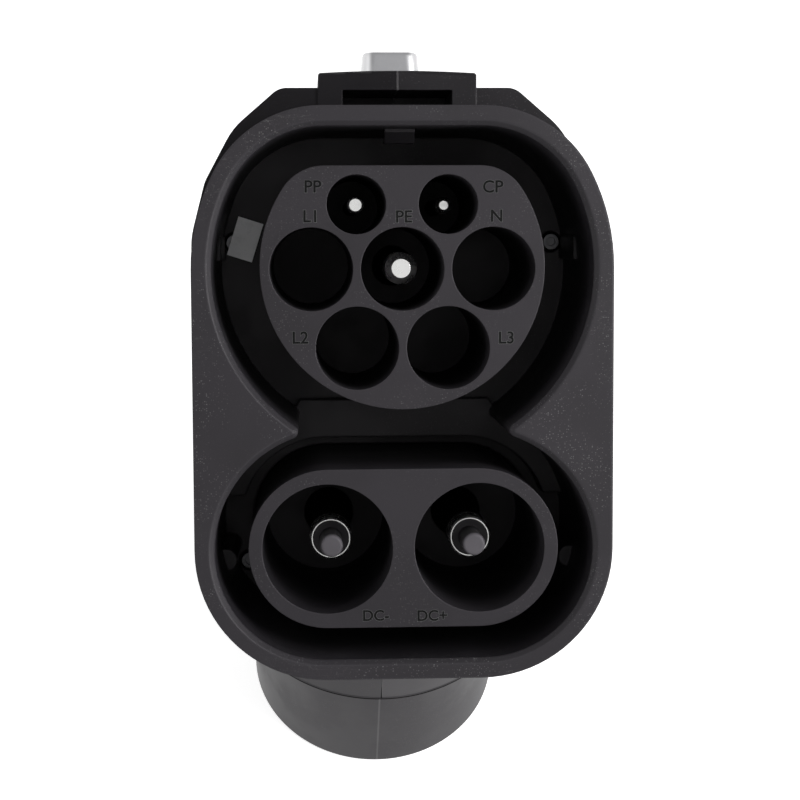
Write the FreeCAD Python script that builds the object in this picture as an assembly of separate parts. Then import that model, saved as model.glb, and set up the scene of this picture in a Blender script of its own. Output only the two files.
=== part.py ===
import FreeCAD, Part
import os
from math import acos, atan2, cos, degrees, hypot, pi, radians, sin, sqrt, tan

# A charging adapter. One end is a combined vehicle inlet: a seven-hole tower above a two-hole
# tower in one figure-8 shroud. The other end is a round plug with nine contacts. A bent
# housing of two shells joins them.
#
# The inlet is drawn in its own frame: X to the right, Y into the inlet, Z up, with the origin
# on the earth contact at the front of the rim. The finished part stands on its plug end: the
# plug's axis is Z and the origin is the middle of the plug's end face. Sizes are millimetres.

V = FreeCAD.Vector

# Bend of the housing
BEND = 45.0
SLEEVE_R = 38.3
ELBOW_Y = 82.0
ELBOW_Z = -20.4
ELBOW_HEIGHT = 126.2

# Clearances
SEAT = 0.2
FIT = 0.05
RUN = 0.3

# Inlet shroud
SHROUD_HALF = 38.2
SHROUD_TOP = 29.3
SHROUD_TOP_CORNER = 22.0
SHROUD_BOTTOM = -75.0
SHROUD_BOTTOM_CORNER = 24.0
RIM_LENGTH = 20.0
STEP_INSET = 1.5
OPENING_R = 34.6
OPENING_TOP = 25.7
OPENING_CORNER = 19.0
DC_Z = -51.3
DC_OPENING_UPPER = 22.1
DC_OPENING_LOWER = 20.1
AC_FLOOR = 40.5
DC_FLOOR = 45.0
FLOOR_WALL = 3.0
RIM_BEVEL = 0.9
WAIST_ROUND = 1.2
WEB_FACE = 3.0
WEB_WALL = 2.0
SHELF_HALF = (19.0, 23.5)
SHELF_FRONT = 38.0
SHELF_BAND = (-34.1, -26.7)
LEDGE_HALF = 31.0
LEDGE_UPPER = 17.0
LEDGE_LOW = -46.0
RIB_DEPTH = 0.9
RIB_BAND = (1.4, 6.0)
RIB_START = 21.0
LOW_RIB_AT = (33.5, -56.7)
LOW_RIB_R = 2.1
LOW_RIB_START = 24.0

# Contact towers
TOWER_FACE = 3.0
AC_TOWER_R = 25.95
AC_TOWER_Z = 0.35
AC_TOWER_TOP = 18.7
AC_TOWER_CORNER = 9.0
AC_HOLE_R = 7.6
SMALL_HOLE_R = 5.4
POWER_PITCH = 16.6
SIGNAL_X = 8.35
SIGNAL_Z = 11.7
DC_TOWER_HALF = 28.5
DC_TOWER_HEIGHT = 29.4
DC_HOLE_R = 12.0
DC_HOLE_X = 14.0
FLANGE_RIM = 3.0
FLANGE_WALL = 3.0
RETAINER_WALL = 3.0

# Inlet pins
EARTH_R = 3.0
EARTH_TIP = 9.0
EARTH_NOSE = 1.25
EARTH_COLLAR_R = 4.0
SIGNAL_R = 1.5
PROXIMITY_TIP = 10.0
PROXIMITY_NOSE = 0.35
PILOT_TIP = 15.0
PILOT_NOSE = 0.65
DC_PIN_R = 4.0
DC_PIN_X = 13.25
DC_PIN_TIP = 15.5
DC_PIN_NOSE = 0.35
DC_COLLAR_R = 5.0
COLLAR_FRONT = 1.0
COLLAR_SEAT = 1.5
CRIMP_WALL = 1.2
GUARD_R = 2.13
GUARD_TIP = 6.4
GUARD_TAIL = 8.0
GUARD_ROUND = 0.6
GUARD_SHOULDER_R = 3.4
GUARD_SHOULDER = 0.5
TAIL_LENGTH = 4.4

# Screws in the groove floors
FLOOR_SCREW_HEAD_R = 1.9
FLOOR_SCREW_R = 1.1
FLOOR_SCREW_HEAD = 1.4
FLOOR_SCREW_SINK = 0.8
AC_SCREW_AT = (31.9, 4.8)
DC_SCREW_AT = (29.7, -60.3)
SCREW_BOSS_R = 3.2

# Sticker
STICKER_WIDTH = 5.2
STICKER_HEIGHT = 8.0
STICKER_THICK = 0.2
STICKER_TURN = 17.5
STICKER_AT = (-29.7, 5.5)

# Housing shells
SHELL_TOP = 34.0
SHELL_HALF = 39.3
SHELL_BOTTOM = -75.9
SHOULDER_X = 22.4
SHOULDER_MIDDLE = (31.2, 26.4)
SHOULDER_LOW = (36.6, 16.4)
SIDE_TOP = 6.0
SHOULDER_ROUNDS = (4.0, 14.0, 8.0, 16.0, 24.0)
SHELL_WALL = 2.2
SLEEVE_WALL = 2.6
FRONT_WALL = 2.2
GASKET = 0.6
COLLAR_END = 41.3
COLLAR_LIP = 2.7
COLLAR_EDGE = 0.8

# Hump, slot and button
HUMP_HALF = 15.0
HUMP_TOP = 37.2
HUMP_CROWN = 0.45
HUMP_ROUND = 0.6
HUMP_END = 75.0
HUMP_SLOPE = 8.0
SLOT_HALF = 10.4
SLOT_ROOF = 33.5
SLOT_BACK = 39.0
SLOT_WALL = 1.2
BUTTON_Y = 55.0
BUTTON_BASE = (12.7, 13.6)
BUTTON_TOP_SIZE = (11.2, 11.0)
BUTTON_TOP = 43.6
BUTTON_ROUND = 2.6
BUTTON_EDGE = 0.8
BUTTON_TRAVEL = 3.5
BUTTON_FLANGE = 1.2
FLANGE_OVERHANG = 1.1
ROOF_WALL = 2.2
WELL_HALF = 13.0
STEM_R = 2.0
CUP_R = 4.8
CUP_CEILING = 1.8
SPRING_WIRE = 0.8
GUIDE_WALL = 1.3
GUIDE_SIDE = 1.0
GUIDE_LENGTH = 18.0

# Detent arm under the slot
DETENT_HALF = 2.8
DETENT_PIVOT = (42.3, 31.8)
DETENT_EYE_R = 1.9
DETENT_PIN_R = 1.0
DETENT_LEAF = 0.8
DETENT_FRONT = 12.0
DETENT_TAB = 5.0
DETENT_REACH = 2.5
DETENT_TURN = 5.5
EAR_WALL = 1.8
LAND_HALF = 12.0
DETENT_WIRE = 0.4
DETENT_COIL_R = 1.7

# Plug barrel and its contacts
BARREL_R = 32.3
BARREL_WALL = 4.0
WELL_DEPTH = 36.3
CARRIER_LEDGE = 2.2
BARREL_END = 48.3
BARREL_FLANGE = 4.0
BARREL_FLANGE_R = 35.4
BARREL_EDGE = 1.0
KEY_WIDTH = 5.0
KEY_DEPTH = 1.6
PLUG_RETAINER_WALL = 3.0
PLUG_DC_R = 6.0
PLUG_DC_TIP = 10.0
PLUG_DC_NOSE = 0.8
PLUG_EARTH_R = 4.0
PLUG_COLLAR = 1.0
PLUG_EARTH_TIP = 7.0
PLUG_EARTH_AT = (0.0, -15.5)
PLUG_SMALL_R = 1.5
PLUG_SMALL_TIP = 14.0
SIGNAL_AT = ((-14.5, 16.5), (-5.0, 20.0), (5.0, 20.0), (14.5, 16.5))
AUX_AT = ((-14.0, -17.0), (14.0, -17.0))
PLUG_TAIL = 55.8
PLUG_GUARD_R = 3.6
PLUG_GUARD_TIP = 6.0
RETAINER_SCREW_RING = 33.0
RETAINER_SCREW_R = 1.2
RETAINER_SCREW_HEAD_R = 2.0
RETAINER_SCREW_HEAD = 1.6

# Latch lever
LEVER_HALF = 5.0
LEVER_THICK = 2.6
LEVER_PIVOT = (29.0, 77.8)
LEVER_EYE_R = 4.2
LEVER_PIN_R = 2.0
HOOK_Y = 37.0
HOOK_TIP = 2.6
HOOK_BEND = 43.3
HOOK_SHOULDER = (32.0, 57.3)
ARM_KNEE = (28.5, 145.8)
PAD_LENGTH = 10.0
CLAW_HEIGHT = 3.4
CLAW_GAP = 0.9
LATCH_SLOT_HALF = 7.0
LATCH_SLOT_END = 58.3
PIVOT_BOSS = 4.5
PIVOT_BOSS_HALF = 5.0
LATCH_WIRE = 0.8
LATCH_COIL_ROOM = 3.2

# Shell screws and their bosses, placed in the finished part's Y and Z
BOSS_R = 3.6
SHELL_SCREW_R = 1.5
SHELL_SCREW_HEAD_R = 3.0
SHELL_SCREW_HEAD = 2.4
SHELL_SCREW_REACH = 9.0
LOW_SCREW_AT = (-26.0, 67.8)

# Battery, board and wiring
CELL_R = 9.1
CELL_LENGTH = 65.0
CELL_AT = (0.0, 13.5)
CELL_BOTTOM = 69.1
CRADLE_WALL = 2.0
CRADLE_HEIGHTS = (85.8, 104.8)
CRADLE_BAND = (5.6, 20.0)
BOARD_HALF = 28.0
BOARD_BAND = (-27.0, 15.0)
BOARD_FRONT = 60.0
BOARD_WALL = 1.6
STANDOFF_R = 2.6
STANDOFF_X = 24.0
STANDOFF_BAND = (-14.0, 9.0)
BOARD_SCREW_R = 1.0
BOARD_SCREW_HEAD_R = 2.0
BOARD_SCREW_HEAD = 1.4
CHIPS = (
    (-18, -8, -20, -10, 2.4), (-4, 2, -16, -10, 1.6), (6, 13, -25, -15, 3.2), (-20, -14, -4, 3, 1.8),
)
HEADER_SIZE = (10.0, 5.0, 7.0)
HEADER_Z = -6.0
HARNESS_X = 20.0
HARNESS_Y = 17.0
HARNESS_R = 2.4
HARNESS_PLUG_WALL = 2.4
HARNESS_PLUG_END = 59.8
DC_CABLE_R = 4.5
EARTH_CABLE_R = 3.0
EARTH_BENDS = ((-7.0, 119.8), (-15.5, 93.8))
AUX_LEAD_R = 1.2
AUX_LEAD_X = 23.0
CRIMP_LENGTH = 9.0

# Derived places and sizes
SECTION_HALF = SLEEVE_R / cos(radians(BEND))
SHELL_FRONT = RIM_LENGTH + GASKET
BOX_END = DC_FLOOR + FLOOR_WALL + FLANGE_WALL
AC_FLOOR_BACK = AC_FLOOR + FLOOR_WALL
DC_FLOOR_BACK = DC_FLOOR + FLOOR_WALL
AC_FLANGE_BACK = AC_FLOOR_BACK + FLANGE_WALL
DC_FLANGE_BACK = DC_FLOOR_BACK + FLANGE_WALL
AC_RETAINER_BACK = AC_FLANGE_BACK + RETAINER_WALL
DC_RETAINER_BACK = DC_FLANGE_BACK + RETAINER_WALL
PLUG_DC_X = DC_PIN_X
LOW_X = POWER_PITCH / 2
LOW_Z = -POWER_PITCH * sin(radians(60))
CARRIER_R = BARREL_R - CARRIER_LEDGE + FIT
WELL_R = BARREL_R - BARREL_WALL
SLEEVE_BORE = SLEEVE_R - SLEEVE_WALL
ROOF = HUMP_TOP - ROOF_WALL
FLANGE_TOP = ROOF - 2 * FIT
FLANGE_LOW = FLANGE_TOP - BUTTON_FLANGE
GUIDE_TOP = FLANGE_LOW - BUTTON_TRAVEL - SEAT
GUIDE_LOW = GUIDE_TOP - GUIDE_WALL
STEM_LOW = GUIDE_LOW - RUN
PAD_Z = STEM_LOW - RUN - LEVER_THICK / 2
WELL_FRONT = BUTTON_Y - GUIDE_LENGTH / 2
WELL_BACK = BUTTON_Y + GUIDE_LENGTH / 2
EYE_HALF = DETENT_HALF
LEAF_TOP = SHROUD_TOP - FIT * 2
LEAF_LOW = LEAF_TOP - DETENT_LEAF
TAB_LOW = OPENING_TOP - DETENT_REACH
CELL_TOP = CELL_BOTTOM + CELL_LENGTH
BARREL_FLANGE_LOW = BARREL_END - BARREL_FLANGE
RETAINER_TOP = BARREL_END + PLUG_RETAINER_WALL
BOARD_BACK = BOARD_FRONT + BOARD_WALL
STRIP_R = DC_CABLE_R - 1.0
FAR = 300.0

POWER_HOLES = ((0.0, 0.0), (-POWER_PITCH, 0.0), (POWER_PITCH, 0.0), (-LOW_X, LOW_Z), (LOW_X, LOW_Z))
SIGNAL_HOLES = ((-SIGNAL_X, SIGNAL_Z), (SIGNAL_X, SIGNAL_Z))


def inlet_frame():
    """Placement that carries the inlet's own frame into the standing part."""
    tilt = FreeCAD.Rotation(V(1, 0, 0), -BEND)
    elbow = tilt.multVec(V(0, ELBOW_Y, ELBOW_Z))
    return FreeCAD.Placement(V(0, 0, ELBOW_HEIGHT) - elbow, tilt)


INLET = inlet_frame()


def placed(shape):
    """Copy of an inlet shape, carried into the standing part."""
    copy = shape.copy()
    copy.Placement = INLET.multiply(copy.Placement)
    return copy


def standing(y, z, x=0.0):
    """Point of the standing part for a point of the inlet frame."""
    return INLET.multVec(V(x, y, z))


def box(x0, x1, y0, y1, z0, z1):
    return Part.makeBox(x1 - x0, y1 - y0, z1 - z0, V(x0, y0, z0))


def rod(x, z, radius, y0, y1):
    """Round bar along the inlet's depth."""
    return Part.makeCylinder(radius, y1 - y0, V(x, y0, z), V(0, 1, 0))


def post(x, y, radius, z0, z1):
    """Round bar along the plug's axis."""
    return Part.makeCylinder(radius, z1 - z0, V(x, y, z0), V(0, 0, 1))


def cross_rod(y, z, radius, x0, x1):
    """Round bar across the housing."""
    return Part.makeCylinder(radius, x1 - x0, V(x0, y, z), V(1, 0, 0))


def ring(radius, bore, z0, z1):
    return post(0, 0, radius, z0, z1).cut(post(0, 0, bore, z0 - 1, z1 + 1))


def fused(shapes):
    """One clean solid from shapes that touch or overlap."""
    body = shapes[0].fuse(shapes[1:]) if len(shapes) > 1 else shapes[0]
    return body.removeSplitter()


def joined(shapes):
    """One solid from shapes that touch or overlap, with its seams left as they are."""
    return shapes[0].fuse(shapes[1:]).Solids[0]


def line(x0, z0, x1, z1):
    return Part.LineSegment(V(x0, 0, z0), V(x1, 0, z1)).toShape()


def spoke(x, z, radius, angle):
    return V(x + radius * cos(radians(angle)), 0, z + radius * sin(radians(angle)))


def arc(x, z, radius, start, end):
    """Arc in the inlet's face plane, from one angle to another in degrees."""
    middle = (start + end) / 2
    ends = [spoke(x, z, radius, a) for a in (start, middle, end)]
    return Part.Arc(*ends).toShape()


def symmetric(edges, y):
    """Closed wire at one depth, from the edges of its right half."""
    mirrored = [edge.mirror(V(0, 0, 0), V(1, 0, 0)) for edge in edges]
    wire = Part.Wire(Part.__sortEdges__(edges + mirrored))
    wire.translate(V(0, y, 0))
    return wire


def prism(edges, y0, y1):
    """Solid between two depths, from the edges of its outline's right half."""
    return Part.Face(symmetric(edges, y0)).extrude(V(0, y1 - y0, 0)).removeSplitter()


def dee(radius, top, corner, z=0.0):
    """Right half of a round outline with a flat top and two corner arcs."""
    corner_z = top - corner
    corner_x = sqrt((radius - corner) ** 2 - (corner_z - z) ** 2)
    lean = degrees(atan2(corner_z - z, corner_x))
    return [
        line(0, top, corner_x, top),
        arc(corner_x, corner_z, corner, 90, lean),
        arc(0, z, radius, lean, -90),
    ]


def pill(half, upper, lower, z):
    """Right half of a wide outline whose ends are round, widest at the height z."""
    return [
        line(0, z + upper, half - upper, z + upper),
        arc(half - upper, z, upper, 90, 0),
        arc(half - lower, z, lower, 0, -90),
        line(half - lower, z - lower, 0, z - lower),
    ]


def shroud_outline(inset):
    """Right half of the shroud's outside, moved inwards by one distance."""
    half = SHROUD_HALF - inset
    top = SHROUD_TOP - inset
    corner = SHROUD_TOP_CORNER - inset
    corner_z = top - corner
    corner_x = sqrt((half - corner) ** 2 - corner_z ** 2)
    lean = degrees(atan2(corner_z, corner_x))
    low_corner = SHROUD_BOTTOM_CORNER - inset
    low_z = SHROUD_BOTTOM + SHROUD_BOTTOM_CORNER
    return [
        line(0, top, corner_x, top),
        arc(corner_x, corner_z, corner, 90, lean),
        arc(0, 0, half, lean, 0),
        line(half, 0, half, low_z),
        arc(half - low_corner, low_z, low_corner, 0, -90),
        line(half - low_corner, low_z - low_corner, 0, low_z - low_corner),
    ]


def ac_opening(grow=0.0):
    return dee(OPENING_R + grow, OPENING_TOP + grow, OPENING_CORNER + grow)


def dc_opening(grow=0.0):
    return pill(OPENING_R + grow, DC_OPENING_UPPER + grow, DC_OPENING_LOWER + grow, DC_Z)


def ac_tower(grow=0.0):
    return dee(AC_TOWER_R + grow, AC_TOWER_TOP + grow, AC_TOWER_CORNER + grow, AC_TOWER_Z)


def dc_tower(grow=0.0):
    end = DC_TOWER_HEIGHT / 2 + grow
    return pill(DC_TOWER_HALF + grow, end, end, DC_Z)


def ac_flange(grow=0.0):
    """Right half of the outline of the seven-hole tower's flange."""
    return dee(AC_TOWER_R + FLANGE_RIM + grow, AC_TOWER_TOP + SEAT, AC_TOWER_CORNER, AC_TOWER_Z)


def both_sides(x, z):
    return ((-x, z), (x, z))


def rim_edges(body, y):
    """Edges of a body that lie in the plane at one depth."""
    return [e for e in body.Edges if all(abs(v.Point.y - y) < 1e-4 for v in e.Vertexes)]


def inlet_shroud():
    """Shroud with a flat rim, the figure-8 opening, its floors and the cored webs at the waist."""
    outside = fused([
        prism(shroud_outline(0), 0, RIM_LENGTH),
        prism(shroud_outline(STEP_INSET), RIM_LENGTH, AC_FLOOR_BACK),
        box(-LAND_HALF, LAND_HALF, RIM_LENGTH, AC_FLOOR_BACK, OPENING_TOP, SHROUD_TOP),
    ])
    low_half = prism(shroud_outline(STEP_INSET), AC_FLOOR_BACK, DC_FLOOR_BACK)
    low_half = low_half.common(prism(dc_opening(WEB_WALL), AC_FLOOR_BACK, DC_FLOOR_BACK))
    outside = fused([outside, low_half]).cut(prism(ac_flange(SEAT), AC_FLOOR_BACK, FAR))
    core = prism(shroud_outline(STEP_INSET + WEB_WALL), WEB_FACE, AC_FLOOR_BACK + 1)
    core = core.cut(prism(ac_opening(WEB_WALL), 0, FAR)).cut(prism(dc_opening(WEB_WALL), 0, FAR))
    body = outside.cut(opening_cavity()).cut(core)
    body = body.makeChamfer(RIM_BEVEL, opening_edges(body))
    ribs = [side_rib(-1), side_rib(1), low_rib(-1), low_rib(1)]
    body = fused([body] + waist_shelf() + ribs + detent_ears())
    windows = fused([prism(ac_tower(SEAT), AC_FLOOR - 1, FAR), prism(dc_tower(SEAT), AC_FLOOR - 8, FAR)])
    body = body.cut(windows)
    for x, z in both_sides(*AC_SCREW_AT):
        body = body.cut(rod(x, z, FLOOR_SCREW_R + FIT, AC_FLOOR - 1, AC_FLOOR_BACK + 1))
        body = body.cut(rod(x, z, FLOOR_SCREW_HEAD_R + SEAT, AC_FLOOR - 1, AC_FLOOR + FLOOR_SCREW_SINK))
    for x, z in both_sides(*DC_SCREW_AT):
        body = body.cut(rod(x, z, FLOOR_SCREW_R + FIT, DC_FLOOR - 1, DC_FLOOR_BACK + 1))
        body = body.cut(rod(x, z, FLOOR_SCREW_HEAD_R + SEAT, DC_FLOOR - 1, DC_FLOOR + FLOOR_SCREW_SINK))
    return body.cut(detent_room()).removeSplitter()


def opening_cavity():
    """The figure-8 space inside the shroud, rounded where its two parts meet."""
    cavity = fused([prism(ac_opening(), -1, AC_FLOOR), prism(dc_opening(), -1, DC_FLOOR)])
    low, high = SHELF_BAND
    waist = [e for e in cavity.Edges
             if abs(e.tangentAt(e.FirstParameter).y) > 0.99 and low < e.Vertexes[0].Point.z < high]
    return cavity.makeFillet(WAIST_ROUND, waist)


def opening_edges(body):
    """Edges of the figure-8 opening in the rim's front face."""
    low = DC_Z - DC_OPENING_LOWER - FIT
    return [e for e in rim_edges(body, 0)
            if all(abs(v.Point.x) < OPENING_R + FIT and low < v.Point.z < OPENING_TOP + FIT
                   for v in e.Vertexes)]


def waist_shelf():
    """Raised shelf between the towers and its ledge around the top of the lower opening."""
    low, high = SHELF_BAND
    high_half, low_half = SHELF_HALF
    shelf = prism([line(0, high, high_half, high), line(high_half, high, low_half, low),
                   line(low_half, low, 0, low)], SHELF_FRONT, AC_FLOOR_BACK)
    ledge = prism(dc_opening(FIT), SHELF_FRONT, DC_FLOOR)
    ledge = ledge.cut(prism(pill(LEDGE_HALF, LEDGE_UPPER, LEDGE_UPPER, DC_Z), 0, FAR))
    ledge = ledge.common(box(-FAR, FAR, 0, FAR, LEDGE_LOW, high))
    return [shelf] + ledge.Solids


def side_rib(side):
    """Low guide rib on a side wall of the upper opening."""
    low, high = RIB_BAND
    rib = box(OPENING_R - RIB_DEPTH, OPENING_R + FIT, RIB_START, AC_FLOOR_BACK, low, high)
    return rib if side > 0 else rib.mirror(V(0, 0, 0), V(1, 0, 0))


def low_rib(side):
    """Round guide rib on a side wall of the lower opening."""
    x, z = LOW_RIB_AT
    tip = rod(x, z, LOW_RIB_R, LOW_RIB_START, DC_FLOOR)
    rib = tip.fuse(box(x, OPENING_R + FIT, LOW_RIB_START, DC_FLOOR, z - LOW_RIB_R, z + LOW_RIB_R))
    return rib if side > 0 else rib.mirror(V(0, 0, 0), V(1, 0, 0))


def detent_ears():
    """Two ears on the shroud's top that carry the detent arm's pin."""
    y, z = DETENT_PIVOT
    inner = EYE_HALF + DETENT_COIL_R
    outer = inner + EAR_WALL
    high = z + DETENT_EYE_R
    hole = cross_rod(y, z, DETENT_PIN_R + FIT, -outer - 1, outer + 1)
    front = SLOT_BACK + SLOT_WALL + SEAT
    return [
        box(x0, x0 + EAR_WALL, front, AC_FLOOR_BACK, OPENING_TOP + 1, high).cut(hole)
        for x0 in (inner, -outer)
    ]


def detent_room():
    """Groove and window in the shroud's top for the detent arm."""
    half = DETENT_HALF + SEAT
    swing = DETENT_REACH * 0.4
    groove = box(-half, half, DETENT_FRONT - swing, AC_FLOOR_BACK + 1, LEAF_LOW - FIT, SHROUD_TOP + 1)
    window = box(-half, half, DETENT_FRONT - swing, DETENT_FRONT + DETENT_TAB + SEAT, 0, SHROUD_TOP + 1)
    return groove.fuse(window)


def ac_contact_carrier():
    """Seven-hole tower with its flange behind the floor; the retainer closes its holes."""
    flange = prism(ac_flange(), AC_FLOOR_BACK, AC_FLANGE_BACK)
    body = fused([prism(ac_tower(), TOWER_FACE, AC_FLANGE_BACK), flange])
    for x, z in POWER_HOLES:
        body = body.cut(rod(x, z, AC_HOLE_R, 0, FAR))
    for x, z in SIGNAL_HOLES:
        body = body.cut(rod(x, z, SMALL_HOLE_R, 0, FAR))
    return body


def dc_contact_carrier():
    """Two-hole tower with its flange behind the floor; the retainer closes its holes."""
    end = DC_TOWER_HEIGHT / 2 + FLANGE_RIM / 2
    flange = prism(pill(DC_TOWER_HALF + FLANGE_RIM / 2, end, end, DC_Z), DC_FLOOR_BACK, DC_FLANGE_BACK)
    tower = prism(dc_tower(), TOWER_FACE, DC_FLANGE_BACK)
    for x, z in both_sides(*DC_SCREW_AT):
        flange = flange.cut(rod(x, z, SCREW_BOSS_R + SEAT, 0, FAR))
    body = fused([tower, flange])
    for x, z in both_sides(DC_HOLE_X, DC_Z):
        body = body.cut(rod(x, z, DC_HOLE_R, 0, FAR))
    return body


def ac_retainer():
    """Plate that closes the seven-hole tower and holds its pins, with bosses and standoffs."""
    plate = prism(dee(AC_TOWER_R + FLANGE_RIM, AC_TOWER_TOP - 1, AC_TOWER_CORNER, AC_TOWER_Z),
                  AC_FLANGE_BACK, AC_RETAINER_BACK)
    pieces = [plate]
    screw_x, screw_z = AC_SCREW_AT
    for side in (-1, 1):
        boss = rod(side * screw_x, screw_z, SCREW_BOSS_R, AC_FLOOR_BACK, AC_RETAINER_BACK)
        ear = box(min(0, side * screw_x), max(0, side * screw_x), AC_FLANGE_BACK, AC_RETAINER_BACK,
                  screw_z - SCREW_BOSS_R, screw_z + SCREW_BOSS_R)
        pieces += [boss, ear]
        for z in STANDOFF_BAND:
            pieces.append(rod(side * STANDOFF_X, z, STANDOFF_R, AC_FLANGE_BACK, BOARD_FRONT))
    body = fused(pieces)
    for x, z in both_sides(*AC_SCREW_AT):
        body = body.cut(rod(x, z, FLOOR_SCREW_R, 0, FAR))
    for z in STANDOFF_BAND:
        for x, _ in both_sides(STANDOFF_X, z):
            body = body.cut(rod(x, z, BOARD_SCREW_R, AC_RETAINER_BACK, FAR))
    for x, z in SIGNAL_HOLES:
        body = body.cut(rod(x, z, SIGNAL_R + FIT, 0, FAR))
    body = body.cut(rod(0, 0, EARTH_COLLAR_R + FIT, 0, AC_FLANGE_BACK + COLLAR_SEAT))
    return body.cut(rod(0, 0, EARTH_R + FIT, 0, FAR))


def dc_retainer():
    """Plate that closes the two-hole tower and holds its pins, screwed through the floor."""
    end = DC_TOWER_HEIGHT / 2 + FLANGE_RIM / 2
    plate = pill(DC_TOWER_HALF + FLANGE_RIM / 2, end, end, DC_Z)
    pieces = [prism(plate, DC_FLANGE_BACK, DC_RETAINER_BACK)]
    for x, z in both_sides(*DC_SCREW_AT):
        pieces.append(rod(x, z, SCREW_BOSS_R, DC_FLOOR_BACK, DC_RETAINER_BACK))
    body = fused(pieces)
    for x, z in both_sides(*DC_SCREW_AT):
        body = body.cut(rod(x, z, FLOOR_SCREW_R, 0, FAR))
    for x, z in both_sides(DC_PIN_X, DC_Z):
        body = body.cut(rod(x, z, DC_PIN_R + FIT, 0, FAR))
        body = body.cut(rod(x, z, DC_COLLAR_R + FIT, 0, DC_FLANGE_BACK + COLLAR_SEAT))
    return body


def contact_pin(x, z, radius, tip, end, nose):
    """Plain contact pin with a chamfered nose."""
    shank = rod(x, z, radius, tip, end)
    return shank.makeChamfer(nose, rim_edges(shank, tip))


def earth_pin():
    """Earth contact with the collar that seats it in the retainer."""
    shank = contact_pin(0, 0, EARTH_R, EARTH_TIP, BOARD_BACK + TAIL_LENGTH, EARTH_NOSE)
    seat = AC_FLANGE_BACK + COLLAR_SEAT
    return fused([shank, rod(0, 0, EARTH_COLLAR_R, AC_FLANGE_BACK - COLLAR_FRONT, seat)])


def inlet_dc_pin(x):
    """Power pin: hollow nose for the touch guard, collar at the retainer and a crimp behind."""
    end = DC_RETAINER_BACK + CRIMP_LENGTH
    collar = rod(x, DC_Z, DC_COLLAR_R, DC_FLANGE_BACK - COLLAR_FRONT, DC_FLANGE_BACK + COLLAR_SEAT)
    shank = contact_pin(x, DC_Z, DC_PIN_R, DC_PIN_TIP, DC_RETAINER_BACK, DC_PIN_NOSE)
    body = fused([shank, collar, rod(x, DC_Z, DC_PIN_R + CRIMP_WALL, DC_RETAINER_BACK, end)])
    body = body.cut(rod(x, DC_Z, GUARD_R + FIT, 0, DC_PIN_TIP + GUARD_TAIL))
    body = body.cut(rod(x, DC_Z, GUARD_SHOULDER_R + FIT, 0, DC_PIN_TIP + GUARD_SHOULDER))
    return body.cut(rod(x, DC_Z, STRIP_R + FIT, end - CRIMP_LENGTH + 1, FAR))


def touch_guard(x):
    """Dark tip set into the nose of an inlet power pin, with a shoulder in the pin's mouth."""
    tip = rod(x, DC_Z, GUARD_R, GUARD_TIP, DC_PIN_TIP + GUARD_TAIL)
    tip = tip.makeFillet(GUARD_ROUND, rim_edges(tip, GUARD_TIP))
    return fused([tip, rod(x, DC_Z, GUARD_SHOULDER_R, DC_PIN_TIP, DC_PIN_TIP + GUARD_SHOULDER)])


def floor_screw(x, z, floor, end):
    """Small pan-head screw sunk in a groove floor."""
    seat = floor + FLOOR_SCREW_SINK
    head = rod(x, z, FLOOR_SCREW_HEAD_R, seat - FLOOR_SCREW_HEAD, seat)
    head = head.makeChamfer(0.35, rim_edges(head, seat - FLOOR_SCREW_HEAD))
    recess = rod(x, z, FLOOR_SCREW_HEAD_R * 0.45, 0, seat - FLOOR_SCREW_HEAD / 2)
    return fused([head, rod(x, z, FLOOR_SCREW_R, seat, end)]).cut(recess)


def floor_screws():
    ac = [floor_screw(x, z, AC_FLOOR, AC_RETAINER_BACK) for x, z in both_sides(*AC_SCREW_AT)]
    dc = [floor_screw(x, z, DC_FLOOR, DC_RETAINER_BACK) for x, z in both_sides(*DC_SCREW_AT)]
    return Part.makeCompound(ac + dc)


def inspection_sticker():
    """Plain sticker that lies over the head of one floor screw."""
    back = AC_FLOOR + FLOOR_SCREW_SINK - FLOOR_SCREW_HEAD
    sheet = box(-STICKER_WIDTH / 2, STICKER_WIDTH / 2, back - STICKER_THICK, back,
                -STICKER_HEIGHT / 2, STICKER_HEIGHT / 2)
    sheet.rotate(V(0, 0, 0), V(0, 1, 0), STICKER_TURN)
    x, z = STICKER_AT
    sheet.translate(V(x, 0, z))
    return sheet


def inlet_gasket():
    """Flat seal between the rim's step and the shells."""
    outer = prism(shroud_outline(SEAT), RIM_LENGTH, SHELL_FRONT)
    inner = prism(shroud_outline(STEP_INSET), 0, FAR)
    land = box(-LAND_HALF - SEAT, LAND_HALF + SEAT, 0, FAR, 0, FAR)
    return outer.cut(inner).cut(land)


def section_corners(inset):
    """Corners of the housing's front section, right half, moved inwards by one distance."""
    corners = [
        (0.0, SHELL_TOP), (SHOULDER_X, SHELL_TOP), SHOULDER_MIDDLE, SHOULDER_LOW, (SHELL_HALF, SIDE_TOP),
        (SHELL_HALF, SHELL_BOTTOM), (0.0, SHELL_BOTTOM),
    ]
    moved = [(0.0, SHELL_TOP - inset)]
    for before, here, after in zip(corners, corners[1:], corners[2:]):
        n1 = inward(before, here)
        n2 = inward(here, after)
        share = inset / (1 + n1[0] * n2[0] + n1[1] * n2[1])
        moved.append((here[0] + (n1[0] + n2[0]) * share, here[1] + (n1[1] + n2[1]) * share))
    return moved + [(0.0, SHELL_BOTTOM + inset)]


def inward(a, b):
    """Unit vector to the inside of an outline that runs clockwise from a to b."""
    length = hypot(b[0] - a[0], b[1] - a[1])
    return ((b[1] - a[1]) / length, -(b[0] - a[0]) / length)


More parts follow.
